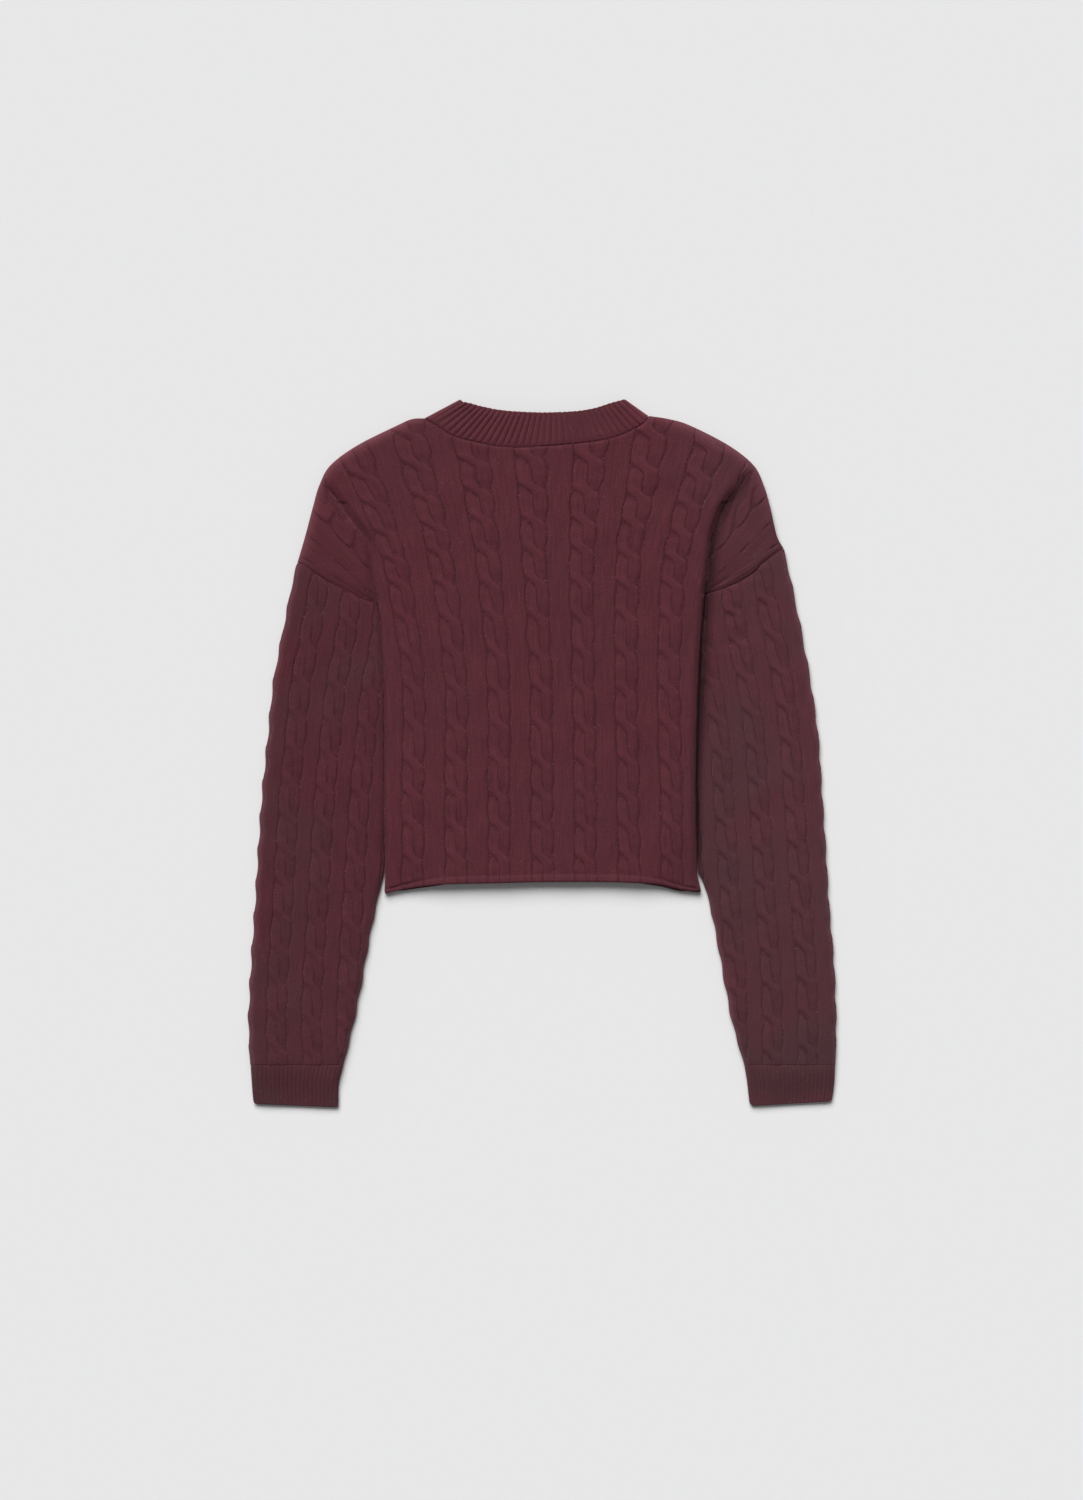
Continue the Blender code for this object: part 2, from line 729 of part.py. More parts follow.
def back_panel():
    outline = back_ring()
    ring = [point for point, _ in outline]
    kinds = [kind for _, kind in outline]
    shell = Shell()
    upper = []
    middle = []
    lower = []
    for number, (point, kind) in enumerate(outline):
        corner = kind == "turned" and kinds[number - 1] == "seam"
        high, low, waist = edge_section(point, inward(ring, number), "seam" if corner else kind)
        upper.append(shell.add(high[0].x, high[0].y, high[1]))
        middle.append(shell.add(point.x, point.y, waist))
        lower.append(shell.add(low[0].x, low[0].y, low[1]))
    shell.band(upper, middle)
    shell.band(middle, lower)

    inner = []
    lines = []
    for row in inset_rows(ring, kinds, FIRST_INSET, FIRST_LIFT):
        add_row(row, inner, lines)
    for row in fold_rows():
        row = [entry for entry in row if clear_of_edges(entry[0], ring, WING_CLEAR_OF_EDGE)]
        add_row(row, inner, lines)
    add_net(body_net(ring), inner, lines)
    for side in ("left", "right"):
        add_net(wing_net(side, ring), inner, lines)

    def outer_height(corner, number):
        lift = inner[number][1] if number is not None else 0.5 * RIB_RISE
        return back_base(corner) + hem_profile(corner) + lift

    def inner_height(corner, _):
        return max(back_base(corner) - WALL, UNDER_BACK)

    shell.sheet(upper, [entry[0] for entry in inner], lines, outer_height)
    shell.sheet(lower, coarse_grid(ring), [], inner_height)
    return solid("back_panel", shell)


def front_panel():
    """Plain panel that lies on the table, with a deeper neckline."""
    step = 2.0 * EDGE_STEP
    ring = []
    for number in range(FRONT_STEPS + 1):
        share = number / FRONT_STEPS
        x = mix(fold_x("left", HEM_CORNER) + FRONT_INSET,
                fold_x("right", HEM_CORNER) - FRONT_INSET, share)
        droop = FRONT_DROOP * (1.0 - (x / HALF_BODY) ** 2)
        ring.append(Vector((x, hem_y(x) - FRONT_INSET - droop)))
    for side in ("right", "left"):
        inside = Vector((-SIGN[side] * FRONT_INSET, -0.5 * FRONT_INSET))
        rise = [mix(HEM_MIDDLE, ARMHOLE[side][-1].y, number / FRONT_STEPS)
                for number in range(FRONT_STEPS)]
        sides = [Vector((fold_x(side, y) + inside.x, y)) for y in rise]
        count = round(ARMHOLE_PATH[side].lengths[-1] / SEAM_STEP)
        seam = [ARMHOLE_PATH[side].beside(1.0 - number / count, 0.5 * FRONT_INSET, 1.0)
                for number in range(count + 1)]
        shoulder = list(reversed(SHOULDER_PATH[side].spaced(step)))
        shoulder = [point + inside for point in shoulder[1:-1]]
        neck = list(reversed(FRONT_NECK_SEAM.spaced(step)))
        half = sides + seam + shoulder
        if side == "right":
            ring += half + neck
        else:
            ring += list(reversed(half))
    shell = Shell()
    loops = []
    for inset, z in ((1.0, 0.0), (0.0, 0.5 * WALL), (0.5, WALL)):
        loop = []
        for number, point in enumerate(ring):
            place = point + inward(ring, number) * inset
            loop.append(shell.add(place.x, place.y, z))
        loops.append(loop)
    shell.band(loops[0], loops[1])
    shell.band(loops[1], loops[2])
    shell.sheet(loops[0], [], [], lambda corner, number: 0.0)
    shell.sheet(loops[2], [], [], lambda corner, number: WALL)
    return solid("front_panel", shell)


class Tube:
    """A hollow tube pressed flat, with shares from 0 to 1 across it and along it.

    plan gives a place in plan, under_plan the same on the underside, radius how
    far in from an edge the tube reaches its height, and lift the relief.
    """

    def __init__(self, top, wall, across, rows, inner_across, inner_rows):
        self.top = top
        self.wall = wall
        self.across = across
        self.rows = rows
        self.inner_across = inner_across
        self.inner_rows = inner_rows

    def under_plan(self, across, along):
        return self.plan(across, along)

    def width(self, along):
        return (self.plan(1.0, along) - self.plan(0.0, along)).length

    def crown(self, across, along):
        """Share of the full height, rounded down at both edges."""
        edge = min(across, 1.0 - across) * self.width(along)
        return round_over(edge, self.radius(across))

    def under_across(self):
        """Columns of the underside, from the far edge back to the near one."""
        edge = self.across[0]
        return (1.0 - edge, 0.5, edge)

    def top_entries(self, along):
        entries = []
        for across in self.across:
            crown = self.crown(across, along)
            height = mix(TUBE_MIDDLE, self.top, crown) + self.lift(across, along) * crown
            entries.append((across, self.plan(across, along), height))
        return entries

    def ring(self, shell, along):
        """One outer ring: near edge, top, far edge and the underside."""
        entries = [(0.0, self.plan(0.0, along), TUBE_MIDDLE)]
        entries += self.top_entries(along)
        entries.append((1.0, self.plan(1.0, along), TUBE_MIDDLE))
        for across in self.under_across():
            entries.append((2.0 - across, self.under_plan(across, along), 0.0))
        return self.store(shell, entries)

    def inner_ring(self, shell, along):
        """One ring of the plain inner side."""
        edge = self.inner_across[0]
        middle = 0.5 * self.top
        entries = [(0.0, self.plan(0.6 * edge, along), middle)]
        for across in self.inner_across:
            height = mix(TUBE_MIDDLE, self.top, self.crown(across, along)) - self.wall
            entries.append((across, self.plan(across, along), max(height, middle + HOLLOW)))
        entries.append((1.0, self.plan(1.0 - 0.6 * edge, along), middle))
        for across in self.under_across():
            across = min(max(across, edge), 1.0 - edge)
            entries.append((2.0 - across, self.under_plan(across, along), self.wall))
        return self.store(shell, entries)

    def store(self, shell, entries):
        numbers = [shell.add(point.x, point.y, height) for _, point, height in entries]
        return numbers, [share for share, _, _ in entries]

    def build(self, name):
        shell = Shell()
        outer = [self.ring(shell, along) for along in self.rows]
        inner = [self.inner_ring(shell, along) for along in self.inner_rows]
        for rings in (outer, inner):
            for first, second in zip(rings, rings[1:]):
                shell.band(first[0], second[0])
        for end in (0, -1):
            shell.rim(outer[end][0], outer[end][1], inner[end][0], inner[end][1])
        return solid(name, shell)


class Sleeve(Tube):
    """Cabled sleeve, from the armhole seam to the cuff."""

    def __init__(self, side):
        self.side = side
        self.columns = self.knit_columns()
        steps = round(SLEEVE_CROSSINGS * SLEEVE_STEPS)
        rows = [number / steps for number in range(steps + 1)]
        super().__init__(SLEEVE_TOP, WALL, [], rows, SLEEVE_INNER_ACROSS,
                         [number / SLEEVE_INNER_STEPS for number in range(SLEEVE_INNER_STEPS + 1)])

    def knit_columns(self):
        """Columns as (distance from the outer edge, lift, shear, on a cable)."""
        columns = [
            (SLEEVE_EDGE, 0.3, 1.0, False),
            (2.8 * SLEEVE_EDGE, RIB_RISE, 0.6, False),
            (SLEEVE_FIRST - 1.5 * SLEEVE_CABLE, RIB_RISE, 0.6, False),
        ]
        side_rib = SLEEVE_CABLE + SLEEVE_RIB_SLOPE
        for number in range(SLEEVE_CABLES):
            middle = SLEEVE_FIRST + SLEEVE_REPEAT * number
            columns += [
                (middle - SLEEVE_CABLE, 0.0, 1.0, False),
                (middle - 0.5 * SLEEVE_CABLE, CABLE_RISE, 0.5, True),
                (middle + 0.5 * SLEEVE_CABLE, CABLE_RISE, -0.5, True),
                (middle + SLEEVE_CABLE, 0.0, -1.0, False),
                (middle + side_rib, RIB_RISE, -0.5, False),
                (middle + SLEEVE_REPEAT - side_rib, RIB_RISE, 0.5, False),
            ]
        return columns

    def row_ends(self, along):
        """Outer and inner end of a row; the rows start along the seam and level out."""
        armhole = ARMHOLE[self.side]
        start = 0.5 * (armhole[0].y + armhole[-1].y)
        tilt = 0.5 * (armhole[0].y - armhole[-1].y) * max(1.0 - along / 0.4, 0.0) ** 2
        middle = mix(start, SLEEVE_OUTER[-1].y, along)
        outer_y = middle + tilt
        inner_y = middle - tilt
        scallop = SLEEVE_SCALLOP * math.cos(2.0 * math.pi * SLEEVE_CROSSINGS * along)
        scallop *= self.clear_of_ends(along)
        outer = read_table(SLEEVE_OUTER, "y", outer_y, self.side) + SIGN[self.side] * scallop
        if inner_y > SLEEVE_INNER[0].y:
            inner = fold_x(self.side, inner_y) + SIGN[self.side] * SIDE_GAP
        else:
            inner = read_table(SLEEVE_INNER, "y", inner_y, self.side)
        return Vector((outer, outer_y)), Vector((inner, inner_y))

    def width(self, along):
        outer, inner = self.row_ends(along)
        return (inner - outer).length

    def clear_of_ends(self, along):
        return ease(along, 0.0, 0.06) * ease(1.0 - along, 0.0, 0.06)

    def plan(self, across, along):
        outer, inner = self.row_ends(along)
        point = outer.lerp(inner, across)
        seam = ARMHOLE_PATH[self.side].beside(across, SEAM_GAP + SEAM_SLACK, -1.0)
        seam.x += SIGN[self.side] * SIDE_GAP * ease(across, 0.8, 1.0)
        return seam.lerp(point, ease(along, 0.0, 0.09))

    def radius(self, across):
        soft = self.side == "right" and across > 0.5
        return SLEEVE_SOFT_ROUND if soft else SLEEVE_ROUND

    def top_entries(self, along):
        ends = self.clear_of_ends(along)
        wave = DIP_SHARE + (1.0 - DIP_SHARE) * crossing_wave(along * SLEEVE_CROSSINGS)
        width = self.width(along)
        free = width - SLEEVE_TURN
        last = self.columns[-1][0]
        entries = []
        for distance, lift, shear, cable in self.columns:
            clear = ease(free - distance, 0.0, SLEEVE_FADE)
            if distance > free:
                distance = free + (distance - free) * (SLEEVE_TURN - SLEEVE_EDGE) / (last - free)
            share = distance / width
            lift *= mix(0.3, 1.0, clear)
            shear *= clear
            crown = round_over(min(distance, width - distance), self.radius(share))
            if cable:
                lift *= wave
            height = mix(TUBE_MIDDLE + 0.8, self.top, crown) + lift * crown * mix(0.5, 1.0, ends)
            down = SIGN[self.side] * CROSSING_SHEAR * shear * ends / SLEEVE_LENGTH
            entries.append((share, self.plan(share, along + down), height))
        return entries

    def under_across(self):
        edge = SLEEVE_EDGE / SLEEVE_WIDEST
        return (1.0 - edge, 0.8, 0.6, 0.4, 0.2, edge)


class CuffTube(Tube):
    """Ribbed cuff, from its seam to its free edge."""

    def __init__(self, table):
        self.table = table
        columns = [0.5 * (number + 0.5) / CUFF_RIBS for number in range(2 * CUFF_RIBS)]
        super().__init__(CUFF_TOP, CUFF_WALL, columns, (0.0, 0.4, 0.85, 1.0),
                         (0.04, 0.2, 0.5, 0.8, 0.96), (0.0, 1.0))

    def plan(self, across, along):
        first, last = self.table[0], self.table[-1]
        y = mix(first.y - SEAM_GAP, last.y, along)
        outer = read_table(self.table, "y", y, "outer")
        inner = read_table(self.table, "y", y, "inner")
        return Vector((mix(outer, inner, across), y))

    def radius(self, across):
        return CUFF_ROUND

    def lift(self, across, along):
        rib = self.across.index(across) % 2
        return CUFF_RIB_RISE * (rib - GROOVE_SHARE) - EDGE_THIN * ease(along, 0.85, 1.0)


class Neckband(Tube):
    """Ribbed band: its back half lies over its deeper front half."""

    def __init__(self):
        self.back_edge = Path([(row.edge_x, row.edge_y) for row in NECK_BACK])
        self.front_edge = Path([(row.edge_x, row.edge_y) for row in NECK_FRONT])
        columns = [0.5 * (number + 0.7) / NECK_RIBS for number in range(2 * NECK_RIBS)]
        super().__init__(NECK_TOP, WALL, columns, (0.0, 0.5, 0.9, 1.0),
                         NECK_INNER_ACROSS, (0.0, 1.0))

    def half_plan(self, seam, edge, across, along):
        start = seam.beside(across, SEAM_GAP + SEAM_SLACK, 1.0)
        return start.lerp(edge.at(across), along)

    def plan(self, across, along):
        return self.half_plan(NECK_SEAM, self.back_edge, across, along)

    def under_plan(self, across, along):
        return self.half_plan(FRONT_NECK_SEAM, self.front_edge, across, along)

    def under_across(self):
        return [0.98] + [number / 12 for number in range(11, 0, -1)] + [0.02]

    def width(self, along):
        return NECK_SEAM.lengths[-1]

    def radius(self, across):
        return NECK_ROUND

    def lift(self, across, along):
        rib = self.across.index(across) % 2
        return NECK_RIB_RISE * (rib - GROOVE_SHARE) - 2.0 * EDGE_THIN * ease(along, 0.5, 1.0)


def main():
    for leftover in list(bpy.data.objects):
        bpy.data.objects.remove(leftover)
    back_panel()
    front_panel()
    Sleeve("left").build("left_sleeve")
    Sleeve("right").build("right_sleeve")
    CuffTube(LEFT_CUFF).build("left_cuff")
    CuffTube(RIGHT_CUFF).build("right_cuff")
    Neckband().build("neckband")


main()
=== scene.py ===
"""Looks of a cropped cable-knit sweater that lies flat on a table, back up.

Each knitted piece starts as a plain closed shell with its knit coordinates
stored on its points. A geometry node tree then raises the cables or the ribs
and lays out the stitches, and another one links the pieces along their seams.

The tables are in millimetres, as a pattern cutter would write them, and the
property groups hold metres. +Y points to the neck, and the table is at z = 0.
"""
import math
from collections import namedtuple

import bmesh
import bpy
import numpy as np
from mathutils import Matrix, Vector
from mathutils.geometry import delaunay_2d_cdt
from mathutils.kdtree import KDTree


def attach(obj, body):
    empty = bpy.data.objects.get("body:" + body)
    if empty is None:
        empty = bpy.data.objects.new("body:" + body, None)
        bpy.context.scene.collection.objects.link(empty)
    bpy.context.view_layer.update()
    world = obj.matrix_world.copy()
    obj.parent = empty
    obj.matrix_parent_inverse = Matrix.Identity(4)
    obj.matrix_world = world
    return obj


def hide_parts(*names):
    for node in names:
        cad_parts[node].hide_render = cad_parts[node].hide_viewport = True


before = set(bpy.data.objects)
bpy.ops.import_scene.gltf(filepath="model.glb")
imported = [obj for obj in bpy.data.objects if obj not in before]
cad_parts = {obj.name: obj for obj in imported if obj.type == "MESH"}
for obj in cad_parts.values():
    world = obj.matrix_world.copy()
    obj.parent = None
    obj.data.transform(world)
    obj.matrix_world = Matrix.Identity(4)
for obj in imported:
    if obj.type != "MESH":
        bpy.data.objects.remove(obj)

bl_info = {
    "name": "Cable-knit Sweater",
    "version": (1, 0, 0),
    "blender": (4, 5, 0),
    "location": "3D View > Sidebar > Sweater",
    "description": "Builds the knitted pieces of a cropped sweater laid flat",
    "category": "Object",
}

MM = 0.001
SIDES = ("left", "right")
SIGN = {"left": -1.0, "right": 1.0}

# Heights of the cloth's outer side without its relief, and its walls.
WALL = 3.0
CUFF_WALL = 2.6
BODY_TOP = 9.3
WING_TOP = 7.9               # a wing is one of the back's dropped shoulders
SLEEVE_TOP = 7.3
CUFF_TOP = 6.9
NECK_TOP = 9.9
NECK_END_TOP = 6.2           # at both ends of the neck seam
SHOULDER_TOP = 5.2           # along the folds of the shoulders
CORNER_TOP = 5.2             # at the pointed corners of the hem
SHOULDER_ROUND = 11.0        # width of the slope along the shoulders
CORNER_ROUND = 62.0          # radius of the slope at the corners of the hem
TURN_TOP = 8.0               # where the back turns under at both its sides
VALLEY_TOP = (5.4, 4.3)      # floor of the fold between the body and each wing
TUBE_MIDDLE = 3.4            # widest point of a flattened tube
UNDER_BACK = 3.4             # underside of the back, which rests on the front
NECK_ROUND = 10.0            # width of the slope at both ends of the neckband
SEAM_GAP = 0.45              # between two pieces along an armhole or the neck
CUFF_GAP = 0.12              # between a sleeve and its cuff
SIDE_GAP = 0.6               # between a sleeve and the side of the body
OVERHANG = 1.0               # how far the side of the back leans over the sleeve
SEAM_RISE = 0.15             # ridge beside each armhole seam
SEAM_RIDGE = 2.6             # its distance from the seam
SEAM_DIP = 0.5               # how much lower each wing ends, level with its sleeve
SEAM_SINK = 0.25             # how far the links lie below the sleeve's outer side
SEAM_YARN = 1.25             # thickness of the linking yarn

Edge = namedtuple("Edge", "y left right")
Place = namedtuple("Place", "x y")
Columns = namedtuple("Columns", "y middle pitch cable")
Course = namedtuple("Course", "number y")
Band = namedtuple("Band", "seam_x seam_y edge_x edge_y")
Cuff = namedtuple("Cuff", "y outer inner")
Hang = namedtuple("Hang", "outer inner")
Crease = namedtuple("Crease", "x y angle length width depth")


def rows_of(kind, *values):
    return tuple(kind(*row) for row in values)


# Outlines, from the rolled hem to the neck and down to the cuffs.
HEM = rows_of(
    Place, (-145.0, -129.2), (-132.0, -125.9), (-121.4, -123.8), (-99.4, -121.0), (-77.3, -119.9),
    (-44.0, -119.3), (-11.0, -118.4), (30.0, -118.1), (66.2, -118.4), (88.0, -119.2),
    (99.4, -119.8), (110.4, -121.3), (121.4, -124.1), (132.5, -126.5), (146.7, -128.0))
HEM_MIDDLE = -118.3          # y of the hem in its middle
HEM_CORNER = -128.9          # and at its corners
HEM_BEAD = 7.6               # width of the rolled edge
HEM_RISE = 1.3               # how far the roll stands above the cloth
HEM_CREST = 6.3              # distance of its brightest line from the hem
HEM_INNER = 5.4              # height of the underside of the roll
HEM_TURN = 9.4               # greatest height at the very edge
HALF_BODY = 146.0

SHOULDER = rows_of(
    Edge, (308.3, -120.0, 117.0), (302.5, -133.4, 136.2), (284.1, -170.2, 172.0),
    (265.7, -195.0, 195.0), (247.3, -205.2, 204.2), (228.9, -210.7, 209.8),
    (201.3, -218.0, 216.2))
SLEEVE_OUTER = rows_of(
    Edge, (189.0, -221.5, 222.6), (176.0, -225.4, 225.0), (136.9, -233.7, 233.7),
    (100.1, -241.0, 241.0), (63.3, -247.5, 247.5), (17.3, -252.1, 253.9), (-37.9, -257.6, 257.6),
    (-93.1, -261.3, 261.3), (-139.1, -264.0, 264.0), (-194.3, -267.7, 268.6),
    (-249.5, -270.0, 270.5), (-286.3, -268.4, 269.8))
SLEEVE_INNER = rows_of(
    Edge, (-110.0, -145.4, 144.2), (-120.7, -148.1, 149.0), (-139.1, -152.7, 154.6),
    (-157.5, -156.4, 158.2), (-175.9, -160.1, 161.9), (-212.7, -166.5, 168.4),
    (-249.5, -173.9, 175.7), (-286.3, -183.1, 186.3))
SIDE_FOLD = rows_of(
    Edge, (HEM_CORNER, -144.3, 144.4), (-126.8, -145.1, 146.3), (-122.5, -145.0, 145.6),
    (-110.0, -144.5, 143.0), (-75.6, -144.4, 142.0), (-15.8, -144.4, 141.2),
    (55.0, -144.9, 143.1), (90.9, -146.3, 144.6), (137.8, -150.0, 148.0), (165.4, -155.5, 151.9),
    (187.5, -157.3, 154.1), (201.3, -162.8, 156.5), (219.7, -176.6, 162.8),
    (232.6, -184.9, 169.3), (247.0, -196.8, 178.6), (256.0, -203.6, 184.0),
    (268.0, -212.0, 191.5))
FOLD_END = {"left": 255.0, "right": 268.0}   # y of the top of each side fold
FOLD_FADE = (232.0, 264.0)   # the folds run out between these two
NECK_REGION = 240.0          # seams above this belong to the neck
ARMHOLE = {
    "left": rows_of(
        Place, (-225.4, 176.0), (-219.0, 173.7), (-204.4, 162.7), (-187.8, 153.5),
        (-173.6, 146.1), (-160.1, 140.6), (-150.3, 137.4)),
    "right": rows_of(
        Place, (222.7, 189.0), (218.5, 186.4), (204.2, 175.8), (194.8, 166.3), (178.2, 156.2),
        (161.6, 150.2), (149.2, 147.9)),
}
NECK_BACK = rows_of(
    Band, (-108.1, 309.0, -75.9, 326.4), (-97.5, 303.4, -74.7, 325.3),
    (-89.2, 297.4, -72.9, 323.8), (-80.0, 292.4, -66.2, 322.4), (-65.3, 288.2, -54.3, 319.2),
    (-38.6, 283.6, -34.0, 315.6), (-1.8, 283.2, -0.9, 313.9), (32.2, 285.9, 30.4, 315.0),
    (53.4, 288.7, 48.8, 318.0), (71.8, 293.8, 62.6, 322.4), (84.6, 299.3, 70.8, 324.6),
    (92.9, 304.3, 74.5, 325.7), (98.4, 311.2, 76.8, 326.4))
NECK_FRONT = rows_of(
    Band, (-108.1, 309.0, -75.9, 326.4), (-97.0, 289.0, -69.0, 309.0),
    (-74.0, 263.0, -54.0, 288.0), (-40.0, 247.0, -29.0, 275.0), (-3.0, 243.0, -1.0, 272.0),
    (35.0, 247.0, 26.0, 275.0), (68.0, 264.0, 51.0, 288.0), (89.0, 290.0, 68.0, 309.0),
    (98.4, 311.2, 76.8, 326.4))
CUFF = {
    "left": rows_of(
        Cuff, (-286.3, -268.4, -183.1), (-304.7, -267.3, -187.2), (-324.6, -265.6, -187.7),
        (-326.8, -264.0, -188.6)),
    "right": rows_of(
        Cuff, (-286.3, 269.8, 186.3), (-304.7, 269.2, 189.1), (-322.8, 267.2, 191.0),
        (-325.2, 266.4, 192.0), (-326.8, 264.0, 194.2)),
}
CUFF_END = {"left": Hang(-322.6, -325.6), "right": Hang(-320.4, -324.4)}

# Knit layout. Half a cable is given as a share of the spacing of the cables.
BACK_COLUMNS = rows_of(
    Columns, (-120.7, 0.5, 39.8, 0.26), (-24.1, 0.0, 39.6, 0.265), (67.9, -0.9, 39.2, 0.27),
    (182.9, -6.8, 43.5, 0.27), (273.1, -10.1, 53.5, 0.29))
BACK_COURSES = rows_of(
    Course, (0.0, 272.6), (4.0, 158.1), (7.0, 59.6), (9.0, -6.6), (12.0, -95.4))
COURSE_BOW = 23.0            # how far a course sags towards the sides
BOW_RANGE = (120.0, 270.0)   # the sag grows between these two
SIDE_COLUMN = 3.5            # cables from the middle to a side
CABLE_WALES = 10.0           # stitches across a cable
REPEAT_WALES = 19.0          # and across a cable and the rib beside it
CABLE_COURSES = 20.0         # rows of stitches from one crossing to the next
WING_GROOVES = (0.08, 0.34, 0.62, 0.95)   # from the armhole seam on; the last two bound a cable
WING_STITCHES = 38.0         # across a wing
WING_FAN = 3.2               # how closely its columns gather at the fold
WING_TOP_SHARE = {"left": 0.42, "right": 0.44}   # of the shoulder's line
WING_CROSSINGS = {"left": 2.6, "right": 3.0}
SLEEVE_FIRST = 27.1          # middle of the first cable, from the outer fold
SLEEVE_REPEAT = 32.4
SLEEVE_CABLE = 9.6           # half the width of a cable
SLEEVE_CROSSINGS = 14.5
SLEEVE_ROUND = 219.5         # all round the sleeve
SLEEVE_STITCH = 1.92
SLEEVE_LEAN = 0.15           # rows of the sleeve lie square to its slanted middle
SLEEVE_SCALLOP = 0.7
CUFF_RIBS = 21
NECK_RIBS = 34
RIB_ROW = 1.5                # height of a row of stitches in the ribbing
CROSSING_LENGTH = 0.46       # share of the way to the next crossing
STRAND_WIDTH = 0.60          # half the width of a strand, as a share of half a cable
CROSSING_NARROWING = 0.09    # how much narrower a cable is at a crossing

# Net of points that the back is made from.
NET_CABLE = 0.265            # half a cable, as a share of the spacing
NET_PITCH = 40.0
NET_CLEAR = 1.95             # from the middle of a groove to the first even column

# Soft creases that the cloth keeps from wearing and folding: place, direction,
# length, width and depth. A positive depth is a ridge.
CREASES = rows_of(
    Crease, (-118.0, 40.0, 96.0, 150.0, 9.0, -0.7), (-60.0, -60.0, 80.0, 120.0, 14.0, 0.5),
    (96.0, -20.0, 88.0, 190.0, 16.0, -0.6), (30.0, 150.0, 70.0, 130.0, 20.0, 0.4),
    (-40.0, 210.0, 118.0, 90.0, 12.0, -0.4), (122.0, 120.0, 64.0, 110.0, 10.0, 0.5),
    (-186.0, 172.0, -38.0, 64.0, 5.0, -0.8), (-205.0, 205.0, -30.0, 46.0, 6.0, 0.5),
    (186.0, 178.0, 42.0, 74.0, 5.0, -0.9), (200.0, 206.0, 48.0, 60.0, 6.0, 0.4),
    (-205.0, 60.0, 82.0, 130.0, 8.0, -0.6), (-232.0, -40.0, 88.0, 90.0, 9.0, 0.5),
    (-196.0, -150.0, 80.0, 140.0, 10.0, -0.5), (-238.0, -215.0, 96.0, 80.0, 11.0, -0.4),
    (180.0, 120.0, 24.0, 42.0, 5.0, 0.7), (176.0, 104.0, 16.0, 36.0, 4.5, -0.7),
    (214.0, 30.0, 100.0, 120.0, 9.0, -0.6), (240.0, -90.0, 92.0, 130.0, 10.0, 0.4),
    (205.0, -190.0, 97.0, 110.0, 9.0, -0.6))
WAVE_LENGTHS = ((83.0, 131.0), (57.0, 71.0), (139.0, 47.0))   # slow unevenness of soft cloth
WAVE_DEPTH = 0.22
WAVE_TURN = 6.28             # radians in a whole wave

FLOOR_REACH = 4.0            # metres
FLOOR_DROP = 0.0004          # metres that the floor lies below the sweater
LIGHT_FROM = (-0.28, 1.0, 1.0)
CAMERA_PLACE = (-0.0005, 0.0035)   # metres from the middle of the frame


class KnitSizes(bpy.types.PropertyGroup):
    cable_rise: bpy.props.FloatProperty(
        name="Cable rise", description="Height of a cable above the groove beside it",
        default=1.8 * MM, unit="LENGTH")
    rib_rise: bpy.props.FloatProperty(
        name="Rib rise", description="Height of the plain ribs between the cables",
        default=1.5 * MM, unit="LENGTH")
    groove: bpy.props.FloatProperty(
        name="Groove", description="Width from the bottom of a groove to the flat beside it",
        default=2.1 * MM, unit="LENGTH")
    crossing_lift: bpy.props.FloatProperty(
        name="Crossing lift", description="How far the front strand stands over the cable",
        default=0.55 * MM, unit="LENGTH")
    crossing_dip: bpy.props.FloatProperty(
        name="Crossing dip", description="How far the back strand sinks behind it",
        default=0.7 * MM, unit="LENGTH")
    cuff_rise: bpy.props.FloatProperty(
        name="Cuff rib rise", description="Height of the fine ribs of the cuffs",
        default=0.5 * MM, unit="LENGTH")
    neck_rise: bpy.props.FloatProperty(
        name="Neck rib rise", description="Height of the ribs of the neckband",
        default=1.4 * MM, unit="LENGTH")
    seam_stitch: bpy.props.FloatProperty(
        name="Seam stitch", description="Length of one linking stitch along a seam",
        default=2.3 * MM, unit="LENGTH")


class YarnColours(bpy.types.PropertyGroup):
    yarn: bpy.props.FloatVectorProperty(
        name="Yarn", description="Colour of the lit side of the yarn",
        subtype="COLOR", size=4, default=(0.138, 0.0325, 0.0450, 1.0))
    shade: bpy.props.FloatVectorProperty(
        name="Shade", description="Colour of the yarn between the stitches",
        subtype="COLOR", size=4, default=(0.060, 0.0155, 0.0210, 1.0))
    umber: bpy.props.FloatVectorProperty(
        name="Umber", description="Browner tone that the dye takes in patches",
        subtype="COLOR", size=4, default=(0.080, 0.0310, 0.0360, 1.0))
    depth: bpy.props.FloatVectorProperty(
        name="Depth", description="Where little light reaches, deep in a fold",
        subtype="COLOR", size=4, default=(0.018, 0.0065, 0.0080, 1.0))
    # A greyer tone that the right sleeve is blended towards.
    faded: bpy.props.FloatVectorProperty(
        name="Faded", description="Greyer tone of the side that has had more light",
        subtype="COLOR", size=4, default=(0.09, 0.10, 0.11, 1.0))
    bloom: bpy.props.FloatVectorProperty(
        name="Bloom", description="Tint of the fine loose fibres",
        subtype="COLOR", size=4, default=(0.45, 0.20, 0.24, 1.0))


class StageSizes(bpy.types.PropertyGroup):
    floor: bpy.props.FloatVectorProperty(
        name="Floor", description="Colour of the plain floor",
        subtype="COLOR", size=4, default=(0.79, 0.79, 0.795, 1.0))
    lamp: bpy.props.FloatProperty(
        name="Main light", description="Strength of the soft light that comes from the neck side",
        default=3.70)
    softness: bpy.props.FloatProperty(
        name="Softness", description="Width in degrees that the main light is seen at",
        default=44.0)
    fill: bpy.props.FloatProperty(
        name="Fill light", description="Strength of the even light from all round",
        default=0.20)
    view_height: bpy.props.FloatProperty(
        name="View height", description="Height of the floor that the camera sees",
        default=1.3832, unit="LENGTH")
    camera_height: bpy.props.FloatProperty(
        name="Camera height", description="Height of the camera above the table",
        default=4.9, unit="LENGTH")


# ---------------------------------------------------------------- numbers


def mix(start, end, share):
    return start + (end - start) * share


